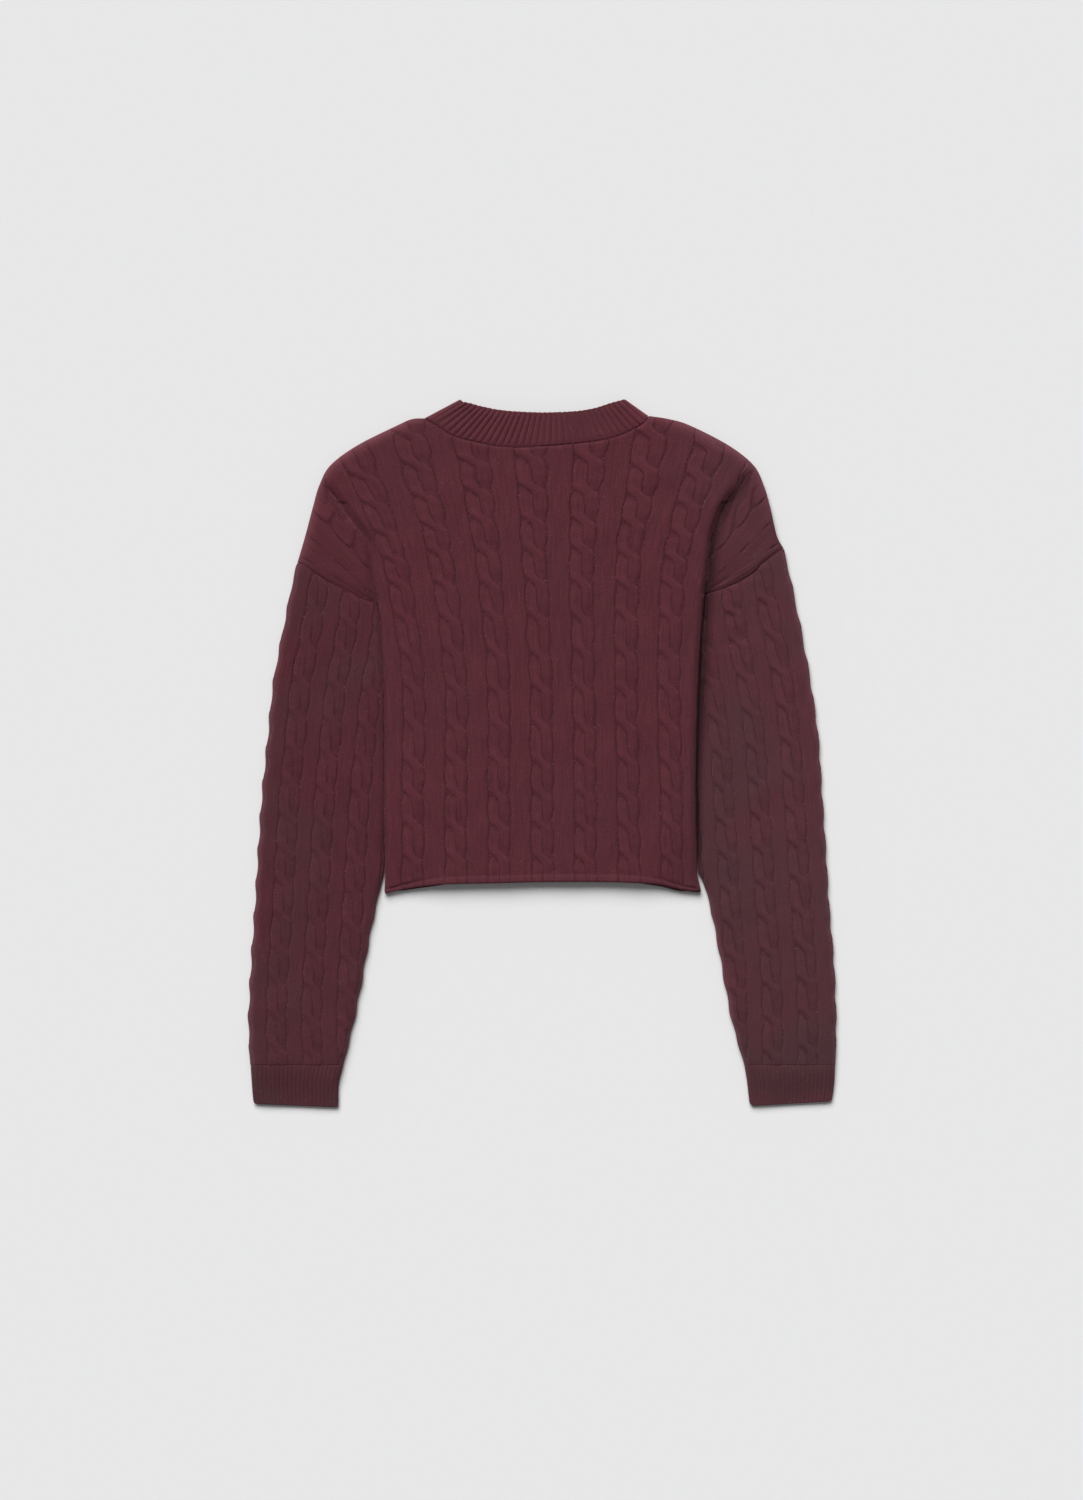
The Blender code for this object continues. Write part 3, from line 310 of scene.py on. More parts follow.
def ease(value, start, end):
    """0 before start, 1 after end, and smooth between."""
    share = np.clip((value - start) / (end - start), 0.0, 1.0)
    return share * share * (3.0 - 2.0 * share)


def round_over(distance, radius):
    """0 at an edge and 1 a radius inside it, along a quarter of a circle."""
    share = np.clip(distance / radius, 0.0, 1.0)
    return np.sqrt(1.0 - (1.0 - share) ** 2)


def bell(distance, width, power=2):
    """1 at no distance, fading out smoothly within a few widths."""
    return np.exp(-(distance / width) ** power)


def read_table(table, column, value, key="y"):
    """Smooth value of a column where the key column has this value."""
    rows = sorted(table, key=lambda row: getattr(row, key))
    keys = np.array([getattr(row, key) for row in rows])
    values = np.array([getattr(row, column) for row in rows])
    steps = np.diff(values) / np.diff(keys)
    slopes = np.empty(len(keys))
    slopes[0] = steps[0]
    slopes[-1] = steps[-1]
    slopes[1:-1] = (values[2:] - values[:-2]) / (keys[2:] - keys[:-2])
    place = np.clip(np.searchsorted(keys, value, side="right") - 1, 0, len(keys) - 2)
    width = keys[place + 1] - keys[place]
    share = (value - keys[place]) / width
    inner = np.clip(share, 0.0, 1.0)
    square = inner * inner
    cube = square * inner
    smooth = ((2 * cube - 3 * square + 1) * values[place]
              + (cube - 2 * square + inner) * width * slopes[place]
              + (3 * square - 2 * cube) * values[place + 1]
              + (cube - square) * width * slopes[place + 1])
    beyond = np.where(share < 0.0, slopes[place], slopes[place + 1])
    return smooth + (share - inner) * width * beyond


class Line:
    """A smooth line in plan through a few places."""

    def __init__(self, places, steps=24):
        places = np.array(places, float)
        padded = np.vstack([places[:1], places, places[-1:]])
        share = np.linspace(0.0, 1.0, steps, endpoint=False)[:, None]
        spans = []
        for number in range(len(places) - 1):
            before, start, end, after = padded[number:number + 4]
            spans.append(0.5 * (2 * start + (end - before) * share
                                + (2 * before - 5 * start + 4 * end - after) * share ** 2
                                + (3 * start - before - 3 * end + after) * share ** 3))
        self.points = np.vstack(spans + [places[-1:]])
        steps = np.linalg.norm(np.diff(self.points, axis=0), axis=1)
        self.reach = np.concatenate([[0.0], np.cumsum(steps)])
        self.length = self.reach[-1]
        self.tree = None

    def at(self, share):
        target = np.clip(share, 0.0, 1.0) * self.length
        return np.stack([np.interp(target, self.reach, self.points[:, axis]) for axis in (0, 1)],
                        axis=-1)

    def spaced(self, step):
        count = max(round(self.length / step), 1)
        return self.at(np.linspace(0.0, 1.0, count + 1))

    def beside(self, share, gap, up):
        """Points at shares of the length, moved square to the line, towards +Y or -Y."""
        along = self.at(share + 0.02) - self.at(share - 0.02)
        square = np.stack([-along[..., 1], along[..., 0]], axis=-1)
        square /= np.linalg.norm(square, axis=-1, keepdims=True)
        square *= gap * np.sign(square[..., 1:] * up)
        return self.at(share) + square

    def distance(self, points):
        if self.tree is None:
            self.tree = point_tree(self.spaced(0.4))
        return nearest_distance(self.tree, points)


def point_tree(points):
    tree = KDTree(len(points))
    for number, (x, y) in enumerate(points):
        tree.insert((x, y, 0.0), number)
    tree.balance()
    return tree


def nearest_distance(tree, points):
    return np.array([tree.find((x, y, 0.0))[2] for x, y in points])


def inside_ring(points, ring):
    inside = np.zeros(len(points), bool)
    x, y = points[:, 0], points[:, 1]
    for start, end in zip(ring, np.roll(ring, -1, axis=0)):
        if start[1] == end[1]:
            continue
        crossed = (start[1] > y) != (end[1] > y)
        at = start[0] + (y - start[1]) / (end[1] - start[1]) * (end[0] - start[0])
        inside ^= crossed & (x < at)
    return inside


def grid_places(across, up):
    """Places in plan at every pair of these numbers, one row after another."""
    return np.stack(np.meshgrid(across, up), axis=-1).reshape(-1, 2)


def with_height(places, height):
    return np.column_stack([places, np.broadcast_to(height, len(places))])


# ------------------------------------------------------------- node trees


def maths(operation):
    """A method of Term that adds one Math node."""
    return lambda term, *others: term.math(operation, *others)


class Term:
    """A node socket in an expression: sums and products of terms add Math nodes."""

    def __init__(self, net, socket):
        self.net = net
        self.socket = socket

    def math(self, operation, *others):
        sockets = dict(enumerate((self, *others)))
        return self.net.make("ShaderNodeMath", {"operation": operation}, sockets)

    __add__ = __radd__ = maths("ADD")
    __sub__ = maths("SUBTRACT")
    __mul__ = __rmul__ = maths("MULTIPLY")
    __truediv__ = maths("DIVIDE")
    __pow__ = maths("POWER")
    __abs__ = maths("ABSOLUTE")
    fract = maths("FRACT")
    smaller = maths("MINIMUM")
    larger = maths("MAXIMUM")
    below = maths("LESS_THAN")

    def __rsub__(self, other):
        value = self.net.make("ShaderNodeValue")
        value.socket.default_value = other
        return value - self

    def rise(self, start, end):
        """0 before start, 1 after end, and smooth between."""
        settings = {"interpolation_type": "SMOOTHSTEP"}
        return self.net.make("ShaderNodeMapRange", settings,
                             {"Value": self, "From Min": start, "From Max": end})

    def output(self, name):
        """Another output of the same node."""
        return Term(self.net, self.socket.node.outputs[name])


class Net:
    """A node tree with one method that adds any node."""

    def __init__(self, tree):
        self.tree = tree

    def make(self, kind, settings=None, sockets=None, output=0):
        """Add a node: its settings first, then a value or a link for each socket."""
        node = self.tree.nodes.new(kind)
        for name, value in (settings or {}).items():
            setattr(node, name, value)
        self.fill(node, sockets or {})
        return Term(self, node.outputs[output])

    def fill(self, node, sockets):
        """Set or link the inputs of a node."""
        for key, value in sockets.items():
            if isinstance(value, Term):
                self.tree.links.new(value.socket, node.inputs[key])
            else:
                node.inputs[key].default_value = value

    def blend(self, share, first, second):
        """Mix two colours, each given as a value or as a term."""
        return self.make("ShaderNodeMix", {"data_type": "RGBA"},
                         {"Factor": share, 6: first, 7: second}, 2)


class Growth(Net):
    """A geometry node tree with named inputs: the geometry, its sizes and a material."""

    def __init__(self, name, *sizes):
        super().__init__(bpy.data.node_groups.new(name, "GeometryNodeTree"))
        face = self.tree.interface
        kinds = {"Geometry": "NodeSocketGeometry", **dict.fromkeys(sizes, "NodeSocketFloat"),
                 "Material": "NodeSocketMaterial"}
        self.keys = {}
        for label, kind in kinds.items():
            socket = face.new_socket(label, in_out="INPUT", socket_type=kind)
            self.keys[label] = socket.identifier
        face.new_socket("Geometry", in_out="OUTPUT", socket_type="NodeSocketGeometry")
        self.source = self.tree.nodes.new("NodeGroupInput")

    def input(self, label):
        return Term(self, self.source.outputs[label])

    def attribute(self, name):
        return self.make("GeometryNodeInputNamedAttribute", {"data_type": "FLOAT"},
                         {"Name": name})

    def vector(self, x, y, z):
        return self.make("ShaderNodeCombineXYZ", None, {"X": x, "Y": y, "Z": z})

    def finish(self, geometry):
        real = self.make("GeometryNodeRealizeInstances", None, {"Geometry": geometry})
        coated = self.make("GeometryNodeSetMaterial", None,
                           {"Geometry": real, "Material": self.input("Material")})
        end = self.tree.nodes.new("NodeGroupOutput")
        self.tree.links.new(coated.socket, end.inputs["Geometry"])

    def grow(self, piece, values):
        """Run the tree on a piece and keep the result as its plain mesh."""
        modifier = piece.modifiers.new("Growth", "NODES")
        modifier.node_group = self.tree
        for label, value in values.items():
            modifier[self.keys[label]] = value
        bpy.context.view_layer.update()
        scene = bpy.context.evaluated_depsgraph_get()
        mesh = bpy.data.meshes.new_from_object(piece.evaluated_get(scene))
        piece.modifiers.remove(modifier)
        old = piece.data
        piece.data = mesh
        bpy.data.meshes.remove(old)
        mesh.name = piece.name


def raise_surface(net, height, top):
    """Move the points out by a height; on the underside only the grooves sink in."""
    sunk = (height - top).smaller(0.0)
    amount = net.attribute("share") * mix(height, sunk, net.attribute("press"))
    normal = net.make("GeometryNodeInputNormal")
    offset = net.make("ShaderNodeVectorMath", {"operation": "SCALE"}, {0: normal, "Scale": amount})
    return net.make("GeometryNodeSetPosition", None,
                    {"Geometry": net.input("Geometry"), "Offset": offset})


def store_stitches(net, geometry, wale, hollow):
    """Keep each point's wale and row of stitches, and how much painted shade it takes, as in a
    groove; a negative value is a painted highlight.
    """
    return net.make("GeometryNodeStoreNamedAttribute",
                    {"data_type": "FLOAT_VECTOR", "domain": "POINT"},
                    {"Geometry": geometry, "Name": "stitch",
                     "Value": net.vector(wale, net.attribute("row"), hollow)})


def cable_growth():
    """Cables of two strands that cross over, and plain ribs between them."""
    net = Growth("Cable knit", "Cable Rise", "Rib Rise", "Groove", "Crossing Lift",
                 "Crossing Dip", "Crossing Length", "Strand", "Narrowing")
    course = net.attribute("course")
    rise = net.input("Cable Rise")
    strand = net.input("Strand")
    turn_length = net.input("Crossing Length")
    from_crossing = (course + 0.5).fract() - 0.5
    turn = from_crossing.rise(turn_length * -0.5, turn_length * 0.5) - 0.5
    near = 1.0 - abs(from_crossing).rise(turn_length * 0.25, turn_length * 0.95)
    across = net.attribute("across") * (1.0 + near * net.input("Narrowing"))

    groove_distance = abs(abs(across) - 1.0) * net.attribute("half")
    fall = 1.0 - (groove_distance / net.input("Groove")).smaller(1.0)
    groove = (1.0 - fall * fall) ** 0.5

    def strand_shape(place):
        out = (abs(across - place) / strand).smaller(1.0)
        return (1.0 - out ** 4.0) ** 0.5

    front_shape = strand_shape(turn)
    back_shape = strand_shape(0.0 - turn)
    front = (rise + net.input("Crossing Lift") * near) * front_shape
    back = (rise - net.input("Crossing Dip") * near) * back_shape
    flat = rise * (0.97 - 0.62 * near * near)
    cable = front.larger(back).larger(flat) * groove
    in_cable = abs(across).below(1.0)
    height = mix(net.input("Rib Rise") * groove, cable, in_cable)

    on_front = back.below(front)
    shift = mix(turn, 0.0 - turn, on_front) * (0.5 * CABLE_WALES)
    wale = net.attribute("wale") + shift * in_cable
    # Painted shade: fall * fall darkens the grooves, and notch the dark hook where the strands
    # meet at a crossing; crest paints a highlight on the raised front strand.
    notch_depth = 0.7 * MM
    notch = near * in_cable * (1.0 - (abs(front - back) / notch_depth).smaller(1.0))
    crest = near * in_cable * front_shape * on_front
    hollow = (fall * fall).larger(notch * 0.55) - (crest * 0.35 + net.attribute("rub"))
    net.finish(store_stitches(net, raise_surface(net, height, rise), wale, hollow))
    return net


def rib_growth():
    """Upright ribs, each a ridge of one or two wales with a groove beside it."""
    net = Growth("Ribbing", "Rib Rise", "Ridge Share", "Wales")
    rib = net.attribute("across")
    rise = net.input("Rib Rise")
    out = (abs(rib.fract() - 0.5) / net.input("Ridge Share")).smaller(1.0)
    height = rise * (1.0 - out ** 3.0) ** 0.8
    raised = raise_surface(net, height, rise)
    # out ** 4.0 paints shade into the grooves between the ribs, and the 0.35 paints the whole
    # ribbing a little lighter.
    net.finish(store_stitches(net, raised, rib * net.input("Wales"), out ** 4.0 - 0.35))
    return net


def seam_growth():
    """A chain of linking stitches along a line: two slanted legs to a stitch."""
    net = Growth("Linked seam", "Stitch", "Yarn")
    length = net.input("Stitch")
    yarn = net.input("Yarn")
    stitch = net.make("GeometryNodeJoinGeometry")
    joined = stitch.socket.node
    for side in (-1.0, 1.0):
        ball = net.make("GeometryNodeMeshUVSphere", None,
                        {"Segments": 8, "Rings": 5, "Radius": 0.5})
        leg = net.make("GeometryNodeTransform", None, {
            "Geometry": ball, "Translation": net.vector(0.0, yarn * (0.42 * side), 0.0),
            "Rotation": (0.0, 0.0, -0.42 * side),
            "Scale": net.vector(length * 1.25, yarn, yarn * 0.9)})
        net.tree.links.new(leg.socket, joined.inputs["Geometry"])
    curve = net.make("GeometryNodeMeshToCurve", None, {"Mesh": net.input("Geometry")})
    points = net.make("GeometryNodeCurveToPoints", {"mode": "LENGTH"},
                      {"Curve": curve, "Length": length})
    turned = net.make("FunctionNodeAlignRotationToVector", {"axis": "X", "pivot_axis": "Z"},
                      {"Vector": points.output("Tangent")})
    net.finish(net.make("GeometryNodeInstanceOnPoints", None,
                        {"Points": points, "Instance": stitch, "Rotation": turned}))
    return net


# ----------------------------------------------------------------- shells


def add_object(name, data):
    """A new object in the scene, at the origin."""
    thing = bpy.data.objects.new(name, data)
    bpy.context.scene.collection.objects.link(thing)
    return thing


KNIT_FIELDS = ("across", "half", "course", "wale", "row", "share", "press", "rub", "deep")


class Shell:
    """Points, faces and knit coordinates of one closed wall."""

    def __init__(self):
        self.points = []
        self.fields = []
        self.count = 0
        self.faces = []

    def add(self, points, fields=None):
        """Add points (n, 3), and their fields or nothing for a plain side."""
        points = np.asarray(points, float)
        if fields is None:
            fields = np.zeros((len(points), len(KNIT_FIELDS)))
        self.points.append(points)
        self.fields.append(fields)
        self.count += len(points)
        return np.arange(self.count - len(points), self.count)

    def grid(self, loops):
        """Quads between loops of as many point numbers each."""
        numbers = np.stack(loops)
        numbers = np.concatenate([numbers, numbers[:, :1]], axis=1)
        quads = np.stack([numbers[:-1, :-1], numbers[:-1, 1:], numbers[1:, 1:], numbers[1:, :-1]],
                         axis=-1)
        self.faces += quads.reshape(-1, 4).tolist()

    def rim(self, first, first_shares, second, second_shares):
        """Triangles between two loops whose points lie at these shares of a turn."""
        a = 0
        b = 0
        while a < len(first) or b < len(second):
            next_a = first_shares[a + 1] if a + 1 < len(first) else 2.0 + first_shares[0]
            next_b = second_shares[b + 1] if b + 1 < len(second) else 2.0 + second_shares[0]
            here_a = int(first[a % len(first)])
            here_b = int(second[b % len(second)])
            if b >= len(second) or (a < len(first) and next_a <= next_b):
                self.faces.append([here_a, int(first[(a + 1) % len(first)]), here_b])
                a += 1
            else:
                self.faces.append([here_a, int(second[(b + 1) % len(second)]), here_b])
                b += 1

    def sheet(self, ring, inner, surface):
        """Fill a ring through inner places; surface gives points and fields from places."""
        outline = np.concatenate(self.points)[ring][:, :2]
        places = [Vector(place) for place in np.vstack([outline, inner])]
        corners, _, faces, sources, _, owners = delaunay_2d_cdt(
            places, [], [list(range(len(ring)))], 1, 1e-5, True)
        numbers = np.empty(len(corners), int)
        fresh = []
        for corner, source in enumerate(sources):
            on_ring = [index for index in source if index < len(ring)]
            if on_ring:
                numbers[corner] = ring[on_ring[0]]
            else:
                fresh.append(corner)
        numbers[fresh] = self.add(*surface(np.array([corners[corner] for corner in fresh])))
        kept = [face for face, owner in zip(faces, owners) if owner]
        self.faces += numbers[np.array(kept)].tolist()

    def build(self, name):
        points = np.concatenate(self.points) * MM
        fields = np.concatenate(self.fields).astype(np.float32)
        mesh = bpy.data.meshes.new(name)
        mesh.from_pydata(points.tolist(), [], self.faces)
        for column, field in enumerate(KNIT_FIELDS):
            attribute = mesh.attributes.new(field, "FLOAT", "POINT")
            attribute.data.foreach_set("value", np.ascontiguousarray(fields[:, column]))
        model = bmesh.new()
        model.from_mesh(mesh)
        bmesh.ops.recalc_face_normals(model, faces=model.faces)
        model.to_mesh(mesh)
        model.free()
        mesh.shade_smooth()
        return add_object(name, mesh)


def fields(across, half, course, wale, row, share, press=0.0, rub=0.0, deep=0.0):
    columns = (across, half * MM, course, wale, row, share, press, rub, deep)
    return np.stack(np.broadcast_arrays(*columns), axis=-1).reshape(-1, len(KNIT_FIELDS))


# -------------------------------------------------------- form of the back


def fold_x(side, y):
    return read_table(SIDE_FOLD, side, y)


def hem_y(x):
    return read_table(HEM, "y", x, key="x")


def columns_at(y):
    """Middle column of the back, spacing of the cables and half a cable, at heights y."""
    return [read_table(BACK_COLUMNS, column, y) for column in ("middle", "pitch", "cable")]


def shoulder_line(side):
    corner = NECK_BACK[0] if side == "left" else NECK_BACK[-1]
    shoulder = [(getattr(row, side), row.y) for row in SHOULDER]
    return Line([corner[:2], *shoulder, ARMHOLE[side][0]])


ARMHOLE_LINE = {side: Line(ARMHOLE[side]) for side in SIDES}
FOLD_LINE = {side: Line([(getattr(row, side), row.y) for row in sorted(SIDE_FOLD)])
             for side in SIDES}
SHOULDER_LINE = {side: shoulder_line(side) for side in SIDES}
NECK_SEAM, FRONT_NECK_SEAM = [Line([row[:2] for row in band]) for band in (NECK_BACK, NECK_FRONT)]
NECK_EDGE, FRONT_NECK_EDGE = [Line([row[2:] for row in band]) for band in (NECK_BACK, NECK_FRONT)]


def drape(points):
    """Soft creases and slow unevenness at places in plan."""
    x, y = points[..., 0], points[..., 1]
    height = np.zeros(x.shape)
    for number, (across, along) in enumerate(WAVE_LENGTHS):
        height += WAVE_DEPTH * np.sin(x / across * WAVE_TURN + 1.7 * number) \
            * np.sin(y / along * WAVE_TURN + 2.3 * number)
    for crease in CREASES:
        turn = math.radians(crease.angle)
        along = (x - crease.x) * math.cos(turn) + (y - crease.y) * math.sin(turn)
        aside = (y - crease.y) * math.cos(turn) - (x - crease.x) * math.sin(turn)
        end = np.abs(along) / (0.5 * crease.length)
        wander = aside - 0.12 * crease.width * np.sin(along / 11.0 + crease.x)
        height += crease.depth * bell(wander, crease.width) * (1.0 - ease(end, 0.2, 1.0))
    return height


def back_outline(step):
    """Outline of the back, anticlockwise, and the kind of each point's edge."""
    left, right = (fold_x(side, HEM_CORNER) for side in SIDES)
    hem = np.linspace(left, right, round((right - left) / step) + 1)
    runs = {}
    for side in SIDES:
        top = ARMHOLE[side][-1].y
        start = hem_y(fold_x(side, HEM_CORNER))
        rise = np.linspace(start, top, round((top - start) / step) + 1)
        edge = np.stack([fold_x(side, rise), rise], axis=-1)
        edge[-1] = ARMHOLE[side][-1]
        runs[side] = [(edge, "turned"), (ARMHOLE_LINE[side].spaced(step)[::-1], "seam"),
                      (SHOULDER_LINE[side].spaced(step)[::-1], "shoulder")]
    spans = [(np.stack([hem, hem_y(hem)], axis=-1), "hem"), *runs["right"],
             (NECK_SEAM.spaced(step)[::-1], "seam")]
    spans += [(points[::-1], kind) for points, kind in reversed(runs["left"])]
    points = np.vstack([run[:-1] for run, _ in spans])
    kinds = np.concatenate([[kind] * (len(run) - 1) for run, kind in spans])
    return points, kinds


def inward(ring):
    """Direction square to a ring at each of its points."""
    along = ring - np.roll(ring, 1, axis=0)
    along /= np.linalg.norm(along, axis=1, keepdims=True)
    along = along + np.roll(along, -1, axis=0)
    along /= np.linalg.norm(along, axis=1, keepdims=True)
    return np.stack([-along[:, 1], along[:, 0]], axis=-1)


def above_hem(points):
    """Distance above the hem, counted larger where the roll grows thin towards its ends."""
    x = points[:, 0]
    end = HALF_BODY - np.abs(x)
    return (points[:, 1] - hem_y(x)) / mix(0.5, 1.0, ease(end, 0.0, 75.0))


def corner_share(ring, radius=9.0):
    """0 at the two pointed corners of the hem and 1 a radius away from them."""
    corners = [(fold_x(side, HEM_CORNER), hem_y(fold_x(side, HEM_CORNER))) for side in SIDES]
    reach = np.minimum(*(np.hypot(*(ring - corner).T) for corner in corners))
    return ease(reach, 0.0, radius)


def by_side(points, left, right):
    return np.where(points[:, 0] < 0.0, left, right)


def on_body(points):
    """Which places lie between the two side folds, and so not on a wing."""
    left, right = (fold_x(side, points[:, 1]) for side in SIDES)
    return (points[:, 0] > left) & (points[:, 0] < right)


def fold_distance(points):
    return np.minimum(*(FOLD_LINE[side].distance(points) for side in SIDES))


class BackForm:
    """Height and knit coordinates of the back at places in plan."""

    def __init__(self):
        outline, kinds = back_outline(0.5)
        self.edge = point_tree(outline)
        self.trees = {kind: point_tree(outline[kinds == kind]) for kind in set(kinds)}
        self.wings = {side: WingForm(side) for side in SIDES}

    def distance(self, kind, points):
        return nearest_distance(self.trees[kind], points)

    def base(self, points):
        """Outer height without the relief."""
        y = points[:, 1]
        fold = fold_distance(points)
        faded = ease(y, *FOLD_FADE)
        seam_end = by_side(points, *(ARMHOLE[side][-1].y for side in SIDES))
        valley = by_side(points, *VALLEY_TOP)
        floor = mix(TURN_TOP, valley, ease(y, seam_end - 6.0, seam_end + 8.0))
        floor = mix(floor, BODY_TOP, faded)
        soft = ease(y, seam_end + 5.0, seam_end + by_side(points, 30.0, 90.0))
        body = mix(floor, BODY_TOP, mix(round_over(fold, 5.5), ease(fold, -1.5, 8.0), soft))
        wing_top = mix(WING_TOP, BODY_TOP, faded)
        wing = mix(floor, wing_top, ease(fold, 0.0, by_side(points, 8.0, 15.0)))
        height = np.where(on_body(points), body, wing) + drape(points)
        seam = self.distance("seam", points)
        armhole = y < NECK_REGION
        ridge = bell(seam - SEAM_RIDGE, 1.5) - 0.7 * bell(seam, 0.9)
        height += (SEAM_RISE * ridge - SEAM_DIP * (1.0 - ease(seam, 0.0, 12.0))) * armhole
        above = above_hem(points)
        height += HEM_RISE * (1.0 - ease(above, HEM_BEAD - 0.5, HEM_BEAD + 4.0))
        height += 0.5 * bell(seam, 6.0) * ~armhole
        shoulder = self.distance("shoulder", points)
        height = mix(SHOULDER_TOP, height, round_over(shoulder, SHOULDER_ROUND))
        height = mix(CORNER_TOP, height, corner_share(points, CORNER_ROUND))
        roll = np.sin(np.pi * np.clip(above / HEM_BEAD, 0.0, 1.0)) ** 0.8
        height += 0.3 * roll - 0.15 * bell(above - HEM_BEAD - 0.4, 0.8)
        turn = np.minimum(HEM_TURN, height - 0.5)
        return mix(turn, height, round_over(above, 0.9))

    def knit(self, points):
        """across, half, course, wale and row; those of the wings come from their own form."""
        x, y = points[:, 0], points[:, 1]
        middle, pitch, share = columns_at(y)
        repeat = (x - middle) / pitch
        half = share * pitch
        cable = np.round(repeat)
        repeat = repeat + 0.010 * np.sin(y / 13.0 + 2.7 * cable) + 0.006 * np.sin(y / 5.3 + cable)
        course = read_table(BACK_COURSES, "number", course_level(y, cable))
        course = course + 0.05 * np.sin(2.1 * cable + 1.9 * np.round(course))
        row = read_table(BACK_COURSES, "number", course_level(y, repeat)) * CABLE_COURSES
        across = (repeat - cable) / share
        wale = repeat * REPEAT_WALES
        for side in SIDES:
            mask = ~on_body(points) & (SIGN[side] * x > 0.0)
            if mask.any():
                wing = self.wings[side].knit(points[mask])
                for values, found in zip((across, half, course, wale, row), wing):
                    values[mask] = found
        return across, half, course, wale, row

    def rub(self, points):
        """Painted highlight: how much lighter and pinker the crest and lower edge of the hem, the
        ridges beside the armhole seams and the shoulders are painted.
        """
        y = points[:, 1]
        above = above_hem(points)
        light = 0.4 * bell(above - HEM_CREST, 0.9)
        light += 0.22 * (1.0 - ease(above, HEM_CREST - 2.0, HEM_CREST + 0.6))
        light += 0.1 * bell(self.distance("seam", points) - SEAM_RIDGE, 1.0) * (y < NECK_REGION)
        shoulder = bell(self.distance("shoulder", points), 5.5, 1.5)
        shoulder *= ease(np.abs(points[:, 0]), 92.0, 140.0)
        shoulder *= by_side(points, 1.0, ease(y, 205.0, 240.0))
        return light + 1.1 * shoulder

    def deep(self, points):
        """Share of painted shade: in the folds beside the sides of the body, in the curl at the
        hem's right corner and along the right end of the hem.
        """
        x, y = points[:, 0], points[:, 1]
        corner = (fold_x("right", HEM_CORNER) - 0.6, HEM_CORNER + 2.4)
        curl = 0.92 * bell(np.hypot(*(points - corner).T), 2.5)
        under = 0.85 * bell(y - hem_y(x), 1.7) * ease(x, 92.0, 122.0)
        body = on_body(points)
        reach = np.where(body, by_side(points, 6.0, 3.4), by_side(points, 12.0, 9.0))
        most = np.where(body, by_side(points, 0.06, 0.36), by_side(points, 0.12, 0.92))
        fold = most * bell(fold_distance(points), reach, 2.4)
        fold *= ease(y, HEM_CORNER, HEM_CORNER + 30.0) * (1.0 - ease(y, *FOLD_FADE))
        return np.maximum(np.maximum(curl, under), fold)

    def strength(self, points):
        """Share of the full relief: it runs out at the hem, the seams and the folds."""
        y = points[:, 1]
        share = ease(above_hem(points), HEM_BEAD - 1.5, HEM_BEAD + 4.0)
        seam = ease(self.distance("seam", points), 1.0, 5.0)
        share *= mix(np.where(y < NECK_REGION, 0.5, 0.85), 1.0, seam)
        share *= ease(self.distance("turned", points), 0.5, 4.0)
        share *= np.where(on_body(points), 1.0, by_side(points, 0.7, 1.0))
        share *= mix(0.4, 1.0, ease(self.distance("shoulder", points), 0.0, 5.0))
        fold = np.where(y > FOLD_FADE[0], 1.0, ease(fold_distance(points), 1.0, 6.0))
        return share * mix(0.15, 1.0, fold)

    def data(self, points, share):
        """All that is stored for places that lie on the outer side."""
        return fields(*self.knit(points), share, 0.0, self.rub(points), self.deep(points))


def course_level(y, repeat):
    """Height of a course in the middle of the back that reaches y at this column."""
    bow = COURSE_BOW * (np.abs(repeat) / SIDE_COLUMN) ** 2
    level = y
    for _ in range(4):
        level = y + bow * ease(level, *BOW_RANGE)
    return level


class WingForm:
    """Knit coordinates of one dropped shoulder, whose columns follow its armhole seam."""

    def __init__(self, side):
        self.side = side
        levels = np.linspace(ARMHOLE[side][-1].y, FOLD_END[side], 14)
        self.fold = Line(np.stack([fold_x(side, levels), levels], axis=-1))
        self.samples = grid_places(np.linspace(0.0, 1.0, 90), np.linspace(0.0, 1.0, 70))
        self.tree = point_tree(self.place(*self.samples.T))

    def place(self, share, along):
        outer = SHOULDER_LINE[self.side].at(1.0 - WING_TOP_SHARE[self.side] * share)
        inner = self.fold.at(np.clip(share, 0.0, 1.0) ** WING_FAN)
        return mix(outer, inner, np.asarray(along)[..., None])

    def locate(self, points):
        """Share and along of places in plan, by search and then a few straight steps."""
        found = [self.tree.find((x, y, 0.0))[1] for x, y in points]
        share, along = self.samples[found].T
        step = 0.004
        least_area = 60.0
        longest = 0.02
        for _ in range(3):
            by_share = self.place(share + step, along) - self.place(share - step, along)
            by_along = self.place(share, along + step) - self.place(share, along - step)
            by_share /= 2.0 * step
            by_along /= 2.0 * step
            miss = points - self.place(share, along)
            area = cross(by_share, by_along)
            area = np.where(np.abs(area) < least_area, least_area * np.sign(area + 1e-9), area)
            share = share + np.clip(cross(miss, by_along) / area, -longest, longest)
            along = along + np.clip(cross(by_share, miss) / area, -longest, longest)
            share = np.clip(share, 0.0, 1.0)
        spread = np.linalg.norm(self.place(np.minimum(share + step, 1.0), along)
                                - self.place(np.maximum(share - step, 0.0), along), axis=1)
        return share, along, spread / (2.0 * step)

    def knit(self, points):
        share, along, spread = self.locate(points)
        grooves = np.array(WING_GROOVES)
        low, high = grooves[-2:]
        half = np.maximum(0.5 * (high - low) * spread, 2.0)
        in_cable = (share > low) & (share < high)
        nearest = np.abs(share[:, None] - grooves).min(axis=1) * spread
        middle = 0.5 * (low + high)
        across = np.where(in_cable, (share - middle) / (0.5 * (high - low)), 1.0 + nearest / half)
        course = along * WING_CROSSINGS[self.side]
        return (across * -SIGN[self.side], half, course + 0.25, share * WING_STITCHES,
                course * CABLE_COURSES)


def cross(first, second):
    return first[:, 0] * second[:, 1] - first[:, 1] * second[:, 0]


